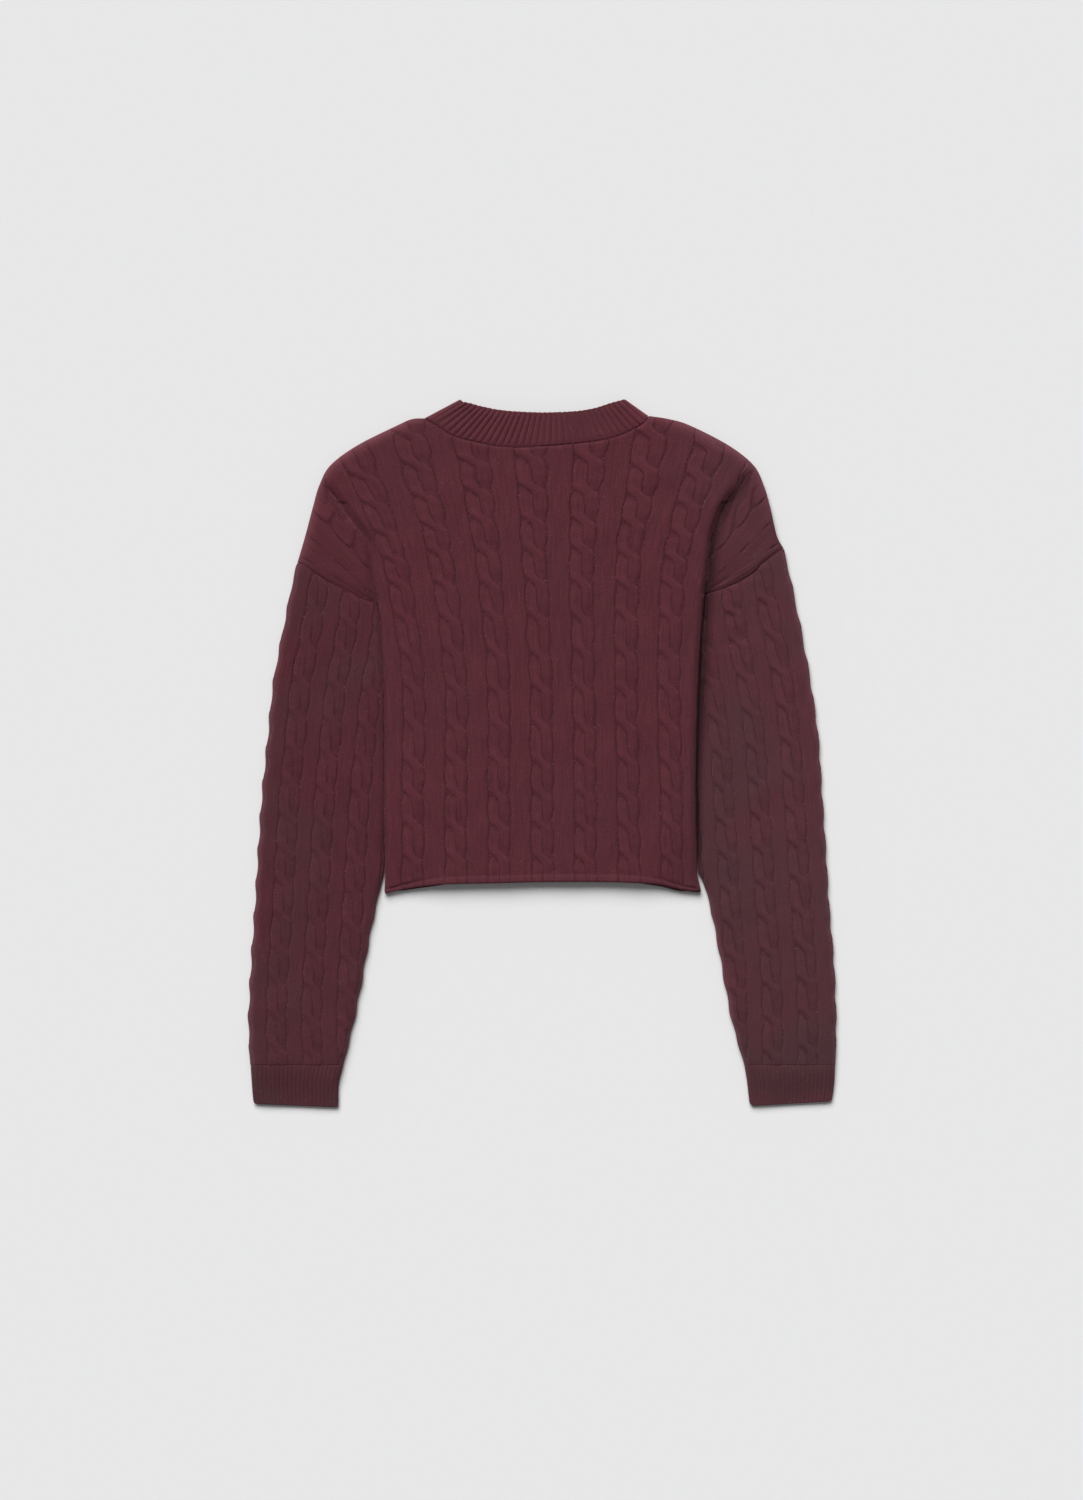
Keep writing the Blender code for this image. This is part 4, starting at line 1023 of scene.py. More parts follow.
def net_columns():
    """Shares of a repeat where columns of points stand, close together at the grooves."""
    near = np.array([-1.15, -0.5, 0.0, 0.5, 1.15]) / NET_PITCH
    clear = NET_CLEAR / NET_PITCH
    cable = np.linspace(-NET_CABLE + clear, NET_CABLE - clear, 16)
    rib = np.linspace(NET_CABLE + clear, 1.0 - NET_CABLE - clear, 9)
    return np.sort(np.concatenate([cable, NET_CABLE + near, rib, 1.0 - NET_CABLE + near]))


def body_places():
    """Net of places over the body, along its wales, in rows that follow the hem."""
    fine = np.arange(0.9, HEM_BEAD + 3.0, 0.8)
    above = np.concatenate([fine, np.arange(fine[-1] + 1.4, 440.0, 1.5)])
    repeat = np.concatenate([net_columns() + cable for cable in range(-5, 5)])
    above, repeat = np.meshgrid(above, repeat, indexing="ij")
    level = HEM_MIDDLE + above
    middle, pitch, share = columns_at(level)
    inside = repeat - np.round(repeat)
    rib = (0.5 - np.abs(inside)) / (0.5 - NET_CABLE)
    stretch = np.where(np.abs(inside) < NET_CABLE, inside / NET_CABLE * share,
                       np.sign(inside) * (0.5 - rib * (0.5 - share)))
    x = middle + pitch * (np.round(repeat) + stretch)
    y = level + (hem_y(x) - HEM_MIDDLE) * (1.0 - ease(above, 0.0, 90.0))
    return np.stack([x.ravel(), y.ravel()], axis=-1)


def wing_places(wing):
    """Net of places over a wing, close together at its grooves."""
    shares = [groove + np.array([-0.02, -0.01, 0.0, 0.01, 0.02]) for groove in WING_GROOVES]
    shares = np.concatenate([*shares, np.linspace(0.12, 0.29, 8), np.linspace(0.38, 0.58, 9),
                             np.linspace(0.655, 0.915, 16), [0.03, 0.05]])
    return wing.place(*grid_places(np.sort(shares), np.linspace(0.0, 1.0, 54)).T)


def coarse_places():
    """Wide net of places for the plain sides of the back and the front."""
    return grid_places(np.arange(-220, 221, 9.0), np.arange(-124, 310, 9.0))


def well_inside(places, ring, edge, gap):
    """The places inside a ring that lie further than a gap from its edge."""
    places = places[inside_ring(places, ring)]
    return places[nearest_distance(edge, places) > gap]


def thin_out(points, gap):
    """Leave out each point that lies nearer than a gap to one kept before it."""
    kept = []
    cells = {}
    for number, (x, y) in enumerate(points):
        column, row = int(x // gap), int(y // gap)
        near = (cells.get((column + a, row + b)) for a in (-1, 0, 1) for b in (-1, 0, 1))
        if any(spot is not None and (spot[0] - x) ** 2 + (spot[1] - y) ** 2 < gap * gap
               for spot in near):
            continue
        cells[column, row] = (x, y)
        kept.append(number)
    return points[kept]


def back_shell():
    form = BackForm()
    step = 1.3
    lip = 0.45                   # where the rounded edge meets the outer side
    ring, kinds = back_outline(step)
    inside = inward(ring)
    hem = kinds == "hem"
    sewn = kinds == "seam"
    lifted = 1.0 - (np.abs(ring[:, 0]) / HALF_BODY) ** 4
    under = np.where(hem, mix(UNDER_BACK, HEM_INNER, lifted), UNDER_BACK)
    high = form.base(ring + inside * lip)
    waist = np.where(sewn, under + 2.0, mix(under, high, 0.6))
    shell = Shell()
    loops = []
    over = OVERHANG * (kinds == "turned") * ease(ring[:, 1], -120.0, -60.0)
    for inset, out, height in ((lip, 0.6, high), (0.08, 1.0, mix(waist, high, 0.55)),
                               (0.0, 1.0, waist), (0.25, 0.7, mix(waist, under, 0.5)),
                               (0.9, 0.0, under)):
        inset = mix(0.3, 1.0, corner_share(ring)) * inset
        places = ring + inside * (inset - out * over)[:, None]
        loops.append(shell.add(with_height(places, height), form.data(places, 0.0)))
    shell.grid(loops)

    free = ~hem & ~sewn
    edges = [ring[free] + inside[free] * inset for inset in (1.1, 1.9, 2.9)]
    for side in SIDES:
        line = Line(form.wings[side].fold.points[::24], 12).spaced(step)
        edges += [line - np.array([SIGN[side] * reach, 0.0])
                  for reach in (0.0, 1.0, 2.0, 3.2, 4.6, -1.2, -2.6, -4.2, -6.0)]
    body = body_places()
    wings = np.vstack([wing_places(form.wings[side]) for side in SIDES])
    places = np.vstack([thin_out(np.vstack(edges), 0.75), body[on_body(body)],
                        wings[~on_body(wings)]])
    places = thin_out(well_inside(places, ring, form.edge, 0.95), 0.62)

    def top(points):
        return with_height(points, form.base(points)), form.data(points, form.strength(points))

    def bottom(points):
        return with_height(points, np.maximum(form.base(points) - WALL, UNDER_BACK)), None

    shell.sheet(loops[0], places, top)
    shell.sheet(loops[-1], well_inside(coarse_places(), ring, form.edge, 5.0), bottom)
    return shell


def front_outline(step):
    """Outline of the front: it lies just inside the back's, with a deeper neckline."""
    ring, kinds = back_outline(step)
    neck = FRONT_NECK_SEAM.spaced(step)[::-1]
    above = (kinds == "seam") & (ring[:, 1] > NECK_REGION)
    first = int(np.argmax(above))
    last = len(above) - int(np.argmax(above[::-1]))
    ring = np.vstack([ring[:first], neck[:-1], ring[last:]])
    kinds = np.concatenate([kinds[:first], ["seam"] * (len(neck) - 1), kinds[last:]])
    aside = np.abs(ring[:, 0])
    near_corner = ease(aside, 70.0, 105.0) * (1.0 - ease(aside, 125.0, 143.0))
    inset = np.where(kinds == "seam", 0.0, 0.8)
    inset = np.where(kinds == "hem", mix(1.4, -1.2, near_corner), inset)
    return ring + inward(ring) * (inset * corner_share(ring))[:, None]


def front_shell():
    """The front lies face down, so its cables are pressed flat against the table."""
    form = BackForm()
    ring = front_outline(1.6)
    inside = inward(ring)
    edge = point_tree(front_outline(0.5))
    shell = Shell()
    loops = []
    for inset, height in ((0.5, WALL), (0.0, 0.75 * WALL), (0.0, 0.3 * WALL), (0.6, 0.0)):
        places = ring + inside * (mix(0.3, 1.0, corner_share(ring)) * inset)[:, None]
        loops.append(shell.add(with_height(places, height)))
    shell.grid(loops)
    wings = grid_places(np.arange(-224, 225, 3.0), np.arange(138, 300, 3.0))
    places = np.vstack([body_places()[::2], wings[~on_body(wings)]])
    places = thin_out(well_inside(places, ring, edge, 1.6), 0.7)

    def under(points):
        share = 0.5 * ease(nearest_distance(edge, points), 1.0, 6.0)
        return with_height(points, 0.0), fields(*form.knit(points), share, 1.0)

    def over(points):
        return with_height(points, WALL), None

    shell.sheet(loops[-1], places, under)
    shell.sheet(loops[0], well_inside(coarse_places(), ring, edge, 5.0), over)
    return shell


# --------------------------------------------------------------- tubes


def end_steps(length, step):
    """Distances along a tube, close together at both of its ends."""
    near = np.array([0.0, 0.35, 0.9, 1.7, 2.8])
    count = round((length - 2.0 * near[-1]) / step)
    middle = np.linspace(near[-1], length - near[-1], count + 1)[1:-1]
    return np.concatenate([near, middle, length - near[::-1]])


class Tube:
    """A hollow tube pressed flat. Each kind gives its width, and its swell, places and rows."""

    top = SLEEVE_TOP
    wall = WALL
    start_round = 0.5
    end_round = 0.5
    end_relief = 0.6             # share of the relief that is left at the far end
    rim_relief = 0.6             # and on the two rims

    def edge(self, share, distance):
        """Distance from the nearer side at shares of the width."""
        return np.minimum(share, 1.0 - share) * self.width(distance)

    def heights(self, share, under, distance):
        """Height of the outer side at shares of the width, on top or on the underside."""
        edge = self.edge(share, distance)
        upper = mix(TUBE_MIDDLE, self.top, self.swell(share, edge, distance / self.length))
        lower = mix(TUBE_MIDDLE, 0.0, round_over(edge, TUBE_MIDDLE))
        return np.where(under, lower, upper)

    def outer_row(self, distance):
        """Turn, places, heights and knit coordinates of a row of the outer side."""
        share, under, data = self.row(distance)
        places = self.place(share, under, distance)
        height = self.heights(share, under, distance)
        end = round_over(distance, self.start_round)
        end *= round_over(self.length - distance, self.end_round)
        layer = np.where(under, 0.5 * self.wall, height - 0.15 * self.wall)
        soft = drape(places) * ease(self.edge(share, distance), 1.0, 12.0)
        height = mix(layer, height, end) + soft * ~under * end
        relief = mix(0.6, 1.0, ease(distance, 0.5, 4.0))
        relief *= mix(self.end_relief, 1.0, ease(self.length - distance, 0.5, 5.0))
        relief *= 1.0 if 0.0 < distance < self.length else self.rim_relief
        data[:, KNIT_FIELDS.index("share")] *= relief
        return turn_share(share, under), places, height, data

    def inner_row(self, distance):
        """The same for the plain inner side, a wall further in."""
        shares = np.array([0.03, 0.06, 0.12, 0.2, 0.3, 0.4, 0.5, 0.6, 0.7, 0.8, 0.88, 0.94, 0.97])
        share = np.concatenate([shares, shares[::-1]])
        under = np.arange(len(share)) >= len(shares)
        upper = self.heights(share, False, distance)
        over = np.minimum(np.maximum(upper - self.wall, 0.5 * self.top + 0.15), upper - 0.9)
        height = np.where(under, np.minimum(self.wall, over - 0.15), over)
        return turn_share(share, under), self.place(share, under, distance), height, None

    def shell(self):
        shell = Shell()
        inset = 0.7
        count = max(round(self.length / 14.0), 3)
        ends = []
        for distances, make_row in (
                (end_steps(self.length, self.row_step), self.outer_row),
                (np.linspace(inset, self.length - inset, count + 1), self.inner_row)):
            loops = []
            for distance in distances:
                turn, places, height, data = make_row(distance)
                loops.append((shell.add(with_height(places, height), data), turn))
            shell.grid([numbers for numbers, _ in loops])
            ends.append((loops[0], loops[-1]))
        for outer, inner in zip(*ends):
            shell.rim(*outer, *inner)
        return shell


def turn_share(share, under):
    """Share of the way round a tube: up to 1 on top and on to 2 below."""
    return np.where(under, 2.0 - share, share)


class Sleeve(Tube):
    """Cabled sleeve whose wales run from the armhole seam to the cuff."""

    row_step = 1.5
    length = 440.0
    fold_turn = 5.0              # from here to the inner fold the columns start to crowd
    start_round = 0.05
    end_round = 0.05
    end_relief = 0.85

    def __init__(self, side):
        self.side = side
        self.columns = self.knit_columns()

    def knit_columns(self):
        """Distances round the cloth from the outer fold, close together at the grooves."""
        near = np.array([-1.1, -0.5, 0.0, 0.5, 1.1])
        clear = 1.9              # from the middle of a groove to the first even column
        half = SLEEVE_CABLE - clear
        spots = [np.array([0.0, 0.3, 0.8, 1.6, 2.8, 4.2]),
                 np.arange(5.8, SLEEVE_FIRST - SLEEVE_CABLE - 1.5, 1.5)]
        for number in range(7):
            middle = SLEEVE_FIRST + SLEEVE_REPEAT * number
            spots += [middle - SLEEVE_CABLE + near, middle + np.linspace(-half, half, 13),
                      middle + SLEEVE_CABLE + near,
                      np.linspace(middle + SLEEVE_CABLE + clear,
                                  middle + SLEEVE_REPEAT - SLEEVE_CABLE - clear, 7)]
        spots = np.sort(np.concatenate(spots))
        return spots[spots < SLEEVE_ROUND - 1.5]

    def swell(self, share, edge, along):
        """Beside the body the left sleeve stays high and the right one sinks into a valley."""
        firm = round_over(edge, 8.0)
        if self.side == "left":
            beside = mix(ease(edge, -14.0, 4.0), firm, ease(along, 0.42, 0.56))
        else:
            reach = mix(1.0, 0.5, ease(along, 0.45, 0.62))
            valley = mix(0.3, 1.0, ease(edge, 1.6 * reach, 16.0 * reach)) * round_over(edge, 1.0)
            beside = mix(valley, firm, ease(along, 0.62, 0.72))
        return np.where(share > 0.5, beside, firm)

    def row_ends(self, distance):
        """Outer and inner end of a row, before the shape of the armhole."""
        along = distance / self.length
        first, last = ARMHOLE[self.side][0].y, ARMHOLE[self.side][-1].y
        middle = mix(0.5 * (first + last), SLEEVE_OUTER[-1].y, along)
        tilt = 0.5 * (first - last) * max(1.0 - along / 0.4, 0.0) ** 2
        outer_y = middle + tilt
        inner_y = middle - tilt
        outer = read_table(SLEEVE_OUTER, self.side, outer_y)
        if inner_y > SLEEVE_INNER[0].y:
            inner = fold_x(self.side, inner_y) + SIGN[self.side] * SIDE_GAP
        else:
            inner = read_table(SLEEVE_INNER, self.side, inner_y)
        return np.array([outer, outer_y]), np.array([inner, inner_y])

    def width(self, distance):
        outer, inner = self.row_ends(distance)
        return np.linalg.norm(inner - outer)

    def level_row(self, share, distance):
        """A row of the sleeve, level and scalloped at its outer fold."""
        outer, inner = self.row_ends(distance)
        points = mix(outer, inner, share[:, None])
        along = distance / self.length
        ends = ease(along, 0.0, 0.06) * ease(1.0 - along, 0.0, 0.06)
        wave = SLEEVE_SCALLOP * math.cos(2.0 * math.pi * SLEEVE_CROSSINGS * along) * ends
        low = ease(along, 0.62, 0.7)
        near_fold = 1.0 - ease(share, 0.0, 0.12) - 0.9 * low * ease(share, 0.9, 1.0)
        points[:, 0] += SIGN[self.side] * wave * near_fold
        return points

    def place(self, share, under, distance):
        """The first row follows the seam of the armhole, and the others grow level below it."""
        seam = ARMHOLE_LINE[self.side].beside(share, SEAM_GAP, -1.0)
        seam[:, 0] += SIGN[self.side] * SIDE_GAP * ease(share, 0.8, 1.0)
        shift = seam - self.level_row(share, 0.0)
        fading = 1.0 - ease(distance / self.length, 0.0, 0.1)
        return self.level_row(share, distance) + shift * fading

    def row(self, distance):
        """Columns keep their distances on top and crowd evenly on the underside."""
        width = self.width(distance)
        across = 0.5 * width * (1.0 - np.cos(np.pi * np.linspace(0.0, 1.0, 241)))
        share = np.concatenate([across, across[-2:0:-1]]) / width
        under = np.arange(len(share)) >= len(across)
        height = self.heights(share, under, distance)
        steps = np.hypot(np.diff(share * width), np.diff(height))
        reach = np.concatenate([[0.0], np.cumsum(steps)])
        total = reach[-1] + math.hypot(share[-1] * width, height[-1] - TUBE_MIDDLE)
        free = reach[len(across) - 1] - self.fold_turn
        spots = self.columns
        squeezed = free + (spots - free) * (total - free) / (SLEEVE_ROUND - free)
        target = np.where(spots > free, squeezed, spots)
        path = np.interp(target, reach, turn_share(share, under))
        under = path > 1.0
        share = np.where(under, 2.0 - path, path)

        repeat = (spots - SLEEVE_FIRST) / SLEEVE_REPEAT
        across = (repeat - np.round(repeat)) * SLEEVE_REPEAT / SLEEVE_CABLE * -SIGN[self.side]
        level = distance - SLEEVE_LEAN * (spots - SLEEVE_FIRST) * ease(distance, 40.0, 160.0)
        course = level / self.length * SLEEVE_CROSSINGS
        edge = self.edge(share, distance)
        along = distance / self.length
        strength = mix(np.where(share < 0.5, 0.35, 0.0), 1.0, ease(edge, 0.5, 5.0))
        strength = np.where(under, 0.45 * ease(edge, 3.0, 8.0), strength)
        # Painted highlight along the sleeve's outer rim, and along its inner rim where it lies
        # free below the body.
        rub = 0.9 * bell(edge, 3.0) * np.where(share < 0.5, 1.0, ease(along, 0.6, 0.68))
        # Painted shade in the valley where the right sleeve runs beside the body, down to about
        # the hem; the left sleeve has none.
        reach = mix(9.5, 5.0, ease(along, 0.15, 0.5))
        deep = bell(edge, reach, 2.4) * (share > 0.5) * (1.0 - ease(along, 0.56, 0.66))
        deep *= 0.94 if self.side == "right" else 0.0
        data = fields(across, SLEEVE_CABLE, course, spots / SLEEVE_STITCH, course * CABLE_COURSES,
                      strength, under * 1.0, rub, deep)
        return share, under, data


class RibTube(Tube):
    """Tube of upright ribs that run on evenly over its sides."""

    rib_steps = 8                # columns of points to a rib
    first_rib = 0.0
    row_sign = 1.0
    side_relief = 0.5            # share of the relief that is left at both sides
    side_width = 4.0

    def eased(self, share, distance):
        """Share of the relief that is left where the ribbing is drawn out."""
        return 1.0

    def row(self, distance):
        steps = self.ribs * self.rib_steps
        along = np.arange(steps) / steps
        share = np.concatenate([along, 1.0 - along])
        under = np.arange(len(share)) >= steps
        rib = np.arange(len(share)) / self.rib_steps + self.first_rib
        edge = self.edge(share, distance)
        strength = mix(self.side_relief, 1.0, ease(edge, 0.0, self.side_width))
        strength = np.where(under, 0.5 * ease(edge, 2.0, 6.0), strength)
        strength *= self.eased(share, distance)
        row = self.row_sign * distance / RIB_ROW
        data = fields(rib, 0.0, 0.0, 0.0, row, strength, under * 1.0)
        return share, under, data


class CuffTube(RibTube):
    """Cuff in fine ribs, one stitch up and one down."""

    top = CUFF_TOP
    wall = CUFF_WALL
    start_round = 0.05
    row_step = 1.4
    ribs = CUFF_RIBS
    first_rib = 0.25

    def __init__(self, side):
        self.table = CUFF[side]
        self.end = CUFF_END[side]
        self.start = self.table[0].y - CUFF_GAP
        self.length = self.start - self.table[-1].y

    def swell(self, share, edge, along):
        """The cuff thins out to its free end."""
        return round_over(edge, 7.0) * mix(1.4, 0.05, ease(along, 0.0, 1.0))

    def ends(self, distance):
        return [read_table(self.table, column, self.start - distance)
                for column in ("outer", "inner")]

    def width(self, distance):
        outer, inner = self.ends(distance)
        return abs(inner - outer)

    def place(self, share, under, distance):
        low = mix(self.end.outer, self.end.inner, share)
        y = mix(self.start, low, distance / self.length)
        return np.column_stack([mix(*self.ends(distance), share), y])


class Neckband(RibTube):
    """Ribbed band: its back half lies over its deeper front half."""

    top = NECK_TOP
    row_step = 1.2
    length = 29.5
    ribs = NECK_RIBS
    row_sign = -1.0
    side_relief = 0.6
    side_width = 5.0

    def swell(self, share, edge, along):
        return round_over(edge, NECK_ROUND)

    def width(self, distance):
        return NECK_SEAM.length

    def place(self, share, under, distance):
        along = distance / self.length
        back, front = [mix(seam.beside(share, SEAM_GAP, 1.0), edge.at(share), along)
                       for seam, edge in ((NECK_SEAM, NECK_EDGE),
                                          (FRONT_NECK_SEAM, FRONT_NECK_EDGE))]
        return np.where(under[:, None], front, back)

    def eased(self, share, distance):
        near = 1.0 - ease(share * NECK_SEAM.length, 6.0, 30.0)
        return 1.0 - 0.7 * near * (1.0 - distance / self.length)


# ------------------------------------------------------------- materials


# Tone shift and share of brown of each cuff: the right one is lighter and less brown.
CUFF_TONE = {
    "left": {"tone_drop": 0.0, "brown": 0.7},
    "right": {"tone_drop": -0.19, "brown": 0.55},
}


class Finish(Net):
    """The node tree of a new material with a rough finish."""

    def __init__(self, name):
        self.material = bpy.data.materials.new(name)
        self.material.use_nodes = True
        super().__init__(self.material.node_tree)
        self.node = self.tree.nodes["Principled BSDF"]
        self.fill(self.node, {"Roughness": 0.9})
        self.place = self.make("ShaderNodeTexCoord", None, None, "Object")

    def stored(self, name, output):
        return self.make("ShaderNodeAttribute", {"attribute_name": name}, None, output)

    def noise(self, scale, detail=2.0, vector=None):
        return self.make("ShaderNodeTexNoise", None,
                         {"Vector": vector or self.place, "Scale": scale, "Detail": detail}, "Fac")

    def bump(self, height, distance, strength=1.0):
        return self.make("ShaderNodeBump", None,
                         {"Height": height, "Distance": distance, "Strength": strength})


def yarn_material(name, tone_drop=0.0, brown=0.35, shadow=0.27, lean=0.0):
    """Soft plied yarn: rounded stitches, loose fibres and slow changes of colour, with painted
    shade in grooves and folds and painted highlights on crests and rims.
    """
    colours = bpy.context.scene.sweater_colours
    net = Finish(name)
    wale = net.make("ShaderNodeSeparateXYZ", None, {0: net.stored("stitch", "Vector")})
    row = wale.output("Y")
    hollow = wale.output("Z")
    out = abs(wale.fract() - 0.5)
    leg = 1.0 - abs(out * 4.0 - 1.0) ** 2.0
    slant = abs((row + out * 1.7).fract() - 0.5) * 2.0
    loop = (leg * (1.0 - slant ** 2.5)).larger(0.0) ** 0.5

    along = net.make("ShaderNodeCombineXYZ", None, {"X": wale * 1.1, "Y": row * 0.05})
    streaks = net.noise(1.0, 2.0, along)
    fibres = net.noise(2600.0, 3.0)
    mottle = net.noise(60.0, 4.0)
    patches = net.noise(9.0, 3.0)
    flecks = net.noise(700.0, 1.0).rise(0.63, 0.72)
    across = net.make("ShaderNodeSeparateXYZ", None, {0: net.place})
    # Stored hollow, times shadow, darkens the tone as painted shade; where hollow is negative it
    # lightens it as a painted highlight.
    tone = (loop * 0.45 + fibres * 0.3 + mottle * 0.35 + streaks * 0.8 - (0.43 + tone_drop)
            - hollow * shadow + across * lean)
    # The tone above is shifted for a whole piece, darker for a positive shift and lighter for a
    # negative one, and lean makes it lighter to the right and darker to the left.
    body = net.blend(tone.larger(0.0).smaller(1.0), colours.shade, colours.yarn)
    # Browner and darker towards the bottom, besides the random brown patches.
    low = across.output("Y") * -1.0
    umber = patches.rise(0.42, 0.66) * brown + low.rise(-0.05, 0.32) * (brown - 0.2)
    warm = net.blend(umber.larger(0.0), body, colours.umber)
    # Greyer on the right sleeve, less so towards its cuff.
    fade = across.rise(0.11, 0.19) * (0.08 - low.rise(0.10, 0.28) * 0.04)
    warm = net.blend(fade, warm, colours.faded)
    # Light flecks of loose fibre, more of them in the painted shade, plus the stored painted
    # highlight, both tinted with bloom.
    specks_and_highlight = flecks * (0.08 + 0.30 * hollow.larger(0.0)) + net.stored("rub", "Fac") * 0.10
    lit = net.blend(specks_and_highlight, warm, colours.bloom)
    relief = loop * 0.75 + fibres * 0.3 + streaks * 0.5 + mottle * 0.3
    # Where deep is stored, the base colour goes over to the depth colour: painted shade in folds
    # and in the hem's curl.
    net.fill(net.node, {
        "Specular IOR Level": 0.12, "Sheen Weight": 0.42, "Sheen Roughness": 0.27,
        "Sheen Tint": colours.bloom, "Normal": net.bump(relief, 0.0005, 0.9),
        "Base Color": net.blend(net.stored("deep", "Fac"), lit, colours.depth)})
    return net.material


def floor_material():
    net = Finish("pale_floor")
    net.fill(net.node, {
        "Specular IOR Level": 0.1, "Base Color": bpy.context.scene.sweater_stage.floor,
        "Normal": net.bump(net.noise(900.0), 0.00005)})
    return net.material


# ------------------------------------------------------------- operators


def add_knit(name, shell, growth, material, values, node):
    """Build a piece, grow its knit with a material of this yarn and tie it to the frame."""
    piece = shell.build(name)
    growth.grow(piece, {**values, "Material": material})
    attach(piece, "root")
    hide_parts(node)


def cable_values():
    sizes = bpy.context.scene.sweater_sizes
    return {
        "Cable Rise": sizes.cable_rise, "Rib Rise": sizes.rib_rise, "Groove": sizes.groove,
        "Crossing Lift": sizes.crossing_lift, "Crossing Dip": sizes.crossing_dip,
        "Crossing Length": CROSSING_LENGTH, "Strand": STRAND_WIDTH,
        "Narrowing": CROSSING_NARROWING,
    }


class SWEATER_OT_panels(bpy.types.Operator):
    """Build the cabled back and the front beneath it"""
    bl_idname = "sweater.panels"
    bl_label = "Back and Front"

    def execute(self, context):
        growth = cable_growth()
        yarn = yarn_material("cable_yarn", brown=0.2, shadow=0.36)
        add_knit("knit_back", back_shell(), growth, yarn, cable_values(),
                 "back_panel")
        add_knit("knit_front", front_shell(), growth, yarn, cable_values(),
                 "front_panel")
        return {"FINISHED"}


class SWEATER_OT_sleeves(bpy.types.Operator):
    """Build the two cabled sleeves"""
    bl_idname = "sweater.sleeves"
    bl_label = "Sleeves"

    def execute(self, context):
        growth = cable_growth()
        yarn = yarn_material("sleeve_yarn", brown=0.6, shadow=0.25, tone_drop=0.07, lean=0.25)
        for side in SIDES:
            add_knit("knit_sleeve_" + side, Sleeve(side).shell(), growth, yarn, cable_values(),
                     side + "_sleeve")
        return {"FINISHED"}


class SWEATER_OT_ribbing(bpy.types.Operator):
    """Build the ribbed cuffs and the ribbed neckband"""
    bl_idname = "sweater.ribbing"
    bl_label = "Cuffs and Neckband"

    def execute(self, context):
        sizes = context.scene.sweater_sizes
        growth = rib_growth()
        yarn = yarn_material("rib_yarn", tone_drop=-0.18)
        for side in SIDES:
            dark = yarn_material("cuff_yarn_" + side, shadow=0.2, lean=0.5, **CUFF_TONE[side])
            add_knit("knit_cuff_" + side, CuffTube(side).shell(), growth, dark,
                     {"Rib Rise": sizes.cuff_rise, "Ridge Share": 0.46, "Wales": 2.0},
                     side + "_cuff")
        add_knit("knit_neckband", Neckband().shell(), growth, yarn,
                 {"Rib Rise": sizes.neck_rise, "Ridge Share": 0.44, "Wales": 4.0},
                 "neckband")
        return {"FINISHED"}


def seam_points():
    """Lines of the seams that show, as lists of places with their height."""
    lines = []
    share = np.linspace(0.02, 0.96, 60)
    for side in SIDES:
        places = ARMHOLE_LINE[side].beside(share, 0.5 * SEAM_GAP, -1.0)
        lines.append(with_height(places, Sleeve(side).heights(share, False, 0.0) - SEAM_SINK))
    share = np.linspace(0.012, 0.988, 120)
    places = NECK_SEAM.beside(share, 0.5 * SEAM_GAP, 1.0)
    raised = round_over(np.minimum(share, 1.0 - share) * NECK_SEAM.length, NECK_ROUND)
    lines.append(with_height(places, mix(NECK_END_TOP, NECK_TOP, raised)))
    return lines


class SWEATER_OT_seams(bpy.types.Operator):
    """Link the pieces along the armholes and the neck"""
    bl_idname = "sweater.seams"
    bl_label = "Seams"

    def execute(self, context):
        points = []
        edges = []
        for line in seam_points():
            start = len(points)
            points += (line * MM).tolist()
            edges += [(number, number + 1) for number in range(start, len(points) - 1)]
        mesh = bpy.data.meshes.new("linked_seams")
        mesh.from_pydata(points, edges, [])
        seams = add_object("linked_seams", mesh)
        seam_growth().grow(seams, {"Stitch": context.scene.sweater_sizes.seam_stitch,
                                   "Yarn": SEAM_YARN * MM,
                                   "Material": yarn_material("seam_yarn", tone_drop=-0.02)})
        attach(seams, "root")
        return {"FINISHED"}


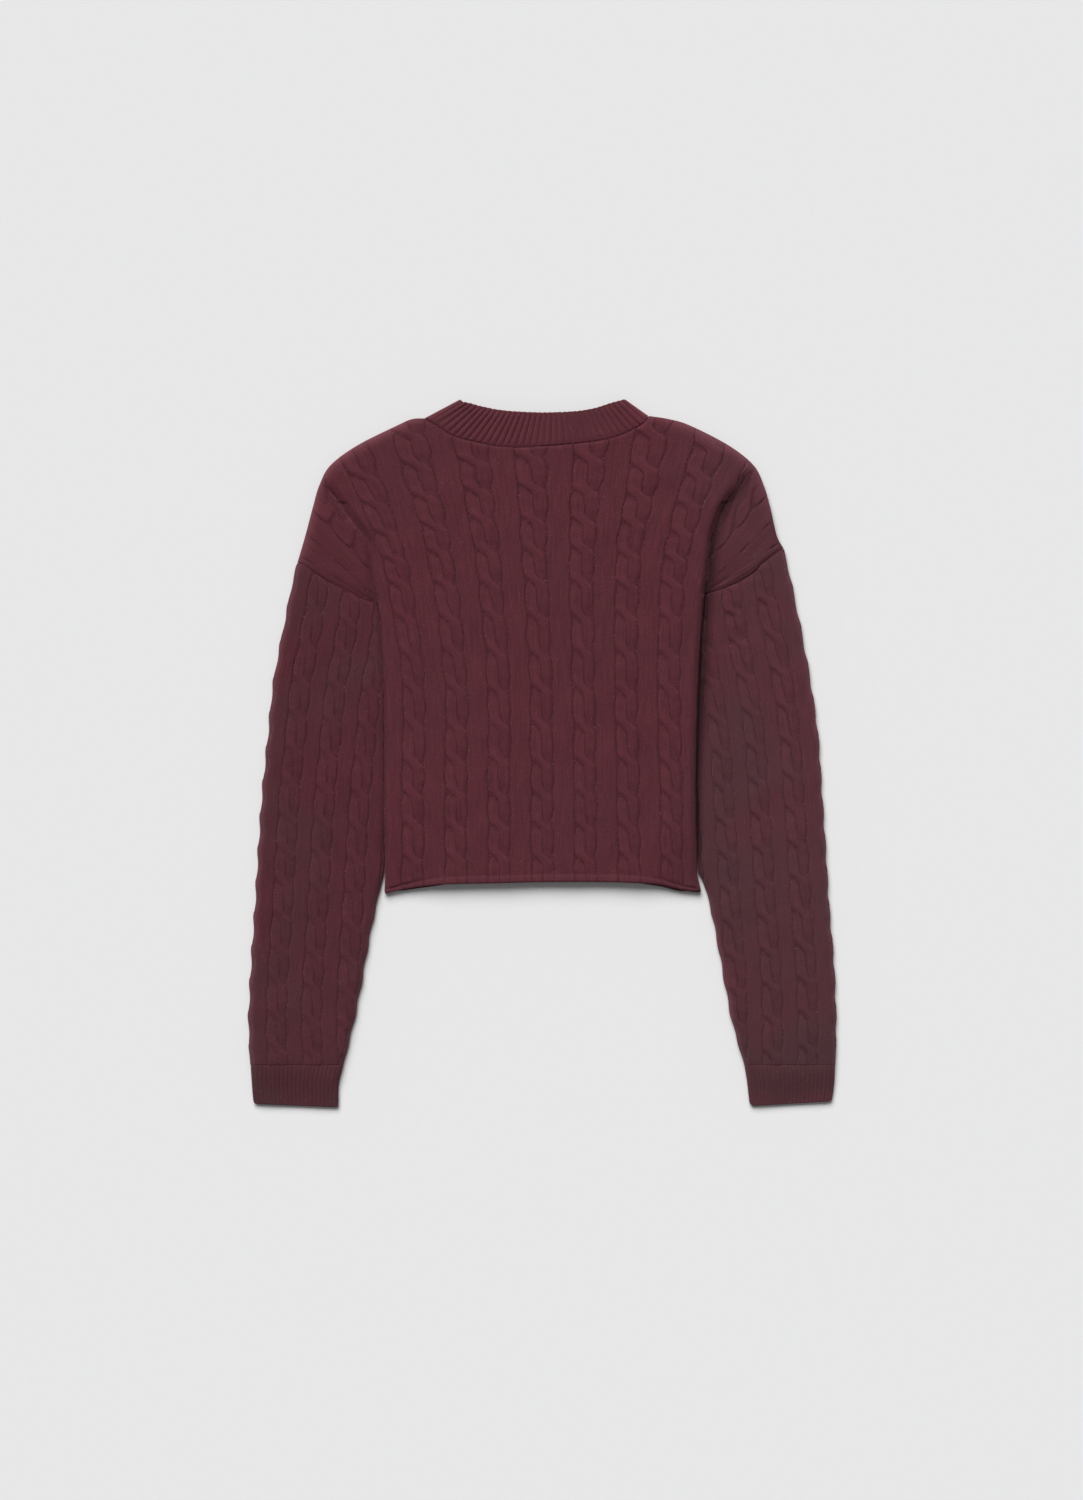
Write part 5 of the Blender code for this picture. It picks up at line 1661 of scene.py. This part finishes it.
class SWEATER_OT_stage(bpy.types.Operator):
    """Lay out the pale floor, the soft lights and the camera above"""
    bl_idname = "sweater.stage"
    bl_label = "Floor, Lights and Camera"

    def execute(self, context):
        stage = context.scene.sweater_stage
        mesh = bpy.data.meshes.new("floor")
        corners = [(x * FLOOR_REACH, y * FLOOR_REACH, 0.0)
                   for x, y in ((-1, -1), (1, -1), (1, 1), (-1, 1))]
        mesh.from_pydata(corners, [], [(0, 1, 2, 3)])
        mesh.materials.append(floor_material())
        floor = add_object("floor", mesh)
        floor.location.z = -FLOOR_DROP

        data = bpy.data.lights.new("window", "SUN")
        data.energy = stage.lamp
        data.angle = math.radians(stage.softness)
        window = add_object("window", data)
        towards = Vector(LIGHT_FROM)
        window.location = towards * 2.0
        window.rotation_euler = towards.to_track_quat("Z", "Y").to_euler()

        world = bpy.data.worlds.new("soft_room")
        world.use_nodes = True
        light = world.node_tree.nodes["Background"]
        light.inputs["Color"].default_value = (1.0, 1.0, 1.0, 1.0)
        light.inputs["Strength"].default_value = stage.fill
        context.scene.world = world
        context.scene.view_settings.view_transform = "Standard"

        data = bpy.data.cameras.new("camera")
        data.sensor_fit = "VERTICAL"
        data.sensor_height = 24.0
        data.lens = data.sensor_height * stage.camera_height / stage.view_height
        camera = add_object("camera", data)
        camera.location = (*CAMERA_PLACE, stage.camera_height)
        context.scene.camera = camera
        return {"FINISHED"}


class SWEATER_PT_build(bpy.types.Panel):
    bl_label = "Cable-knit Sweater"
    bl_space_type = "VIEW_3D"
    bl_region_type = "UI"
    bl_category = "Sweater"

    def draw(self, context):
        layout = self.layout
        for group in (context.scene.sweater_sizes, context.scene.sweater_colours,
                      context.scene.sweater_stage):
            box = layout.box()
            for name in group.__annotations__:
                box.prop(group, name)
        for operator in OPERATORS:
            layout.operator(operator.bl_idname)


GROUPS = {
    "sweater_sizes": KnitSizes,
    "sweater_colours": YarnColours,
    "sweater_stage": StageSizes,
}
OPERATORS = (SWEATER_OT_stage, SWEATER_OT_panels, SWEATER_OT_sleeves, SWEATER_OT_ribbing,
             SWEATER_OT_seams)


def register():
    for name, group in GROUPS.items():
        bpy.utils.register_class(group)
        setattr(bpy.types.Scene, name, bpy.props.PointerProperty(type=group))
    for operator in OPERATORS:
        bpy.utils.register_class(operator)
    bpy.utils.register_class(SWEATER_PT_build)


def unregister():
    bpy.utils.unregister_class(SWEATER_PT_build)
    for operator in reversed(OPERATORS):
        bpy.utils.unregister_class(operator)
    for name, group in reversed(GROUPS.items()):
        delattr(bpy.types.Scene, name)
        bpy.utils.unregister_class(group)


def main():
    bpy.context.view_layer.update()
    register()
    bpy.ops.sweater.stage()
    bpy.ops.sweater.panels()
    bpy.ops.sweater.sleeves()
    bpy.ops.sweater.ribbing()
    bpy.ops.sweater.seams()


if __name__ == "__main__":
    main()
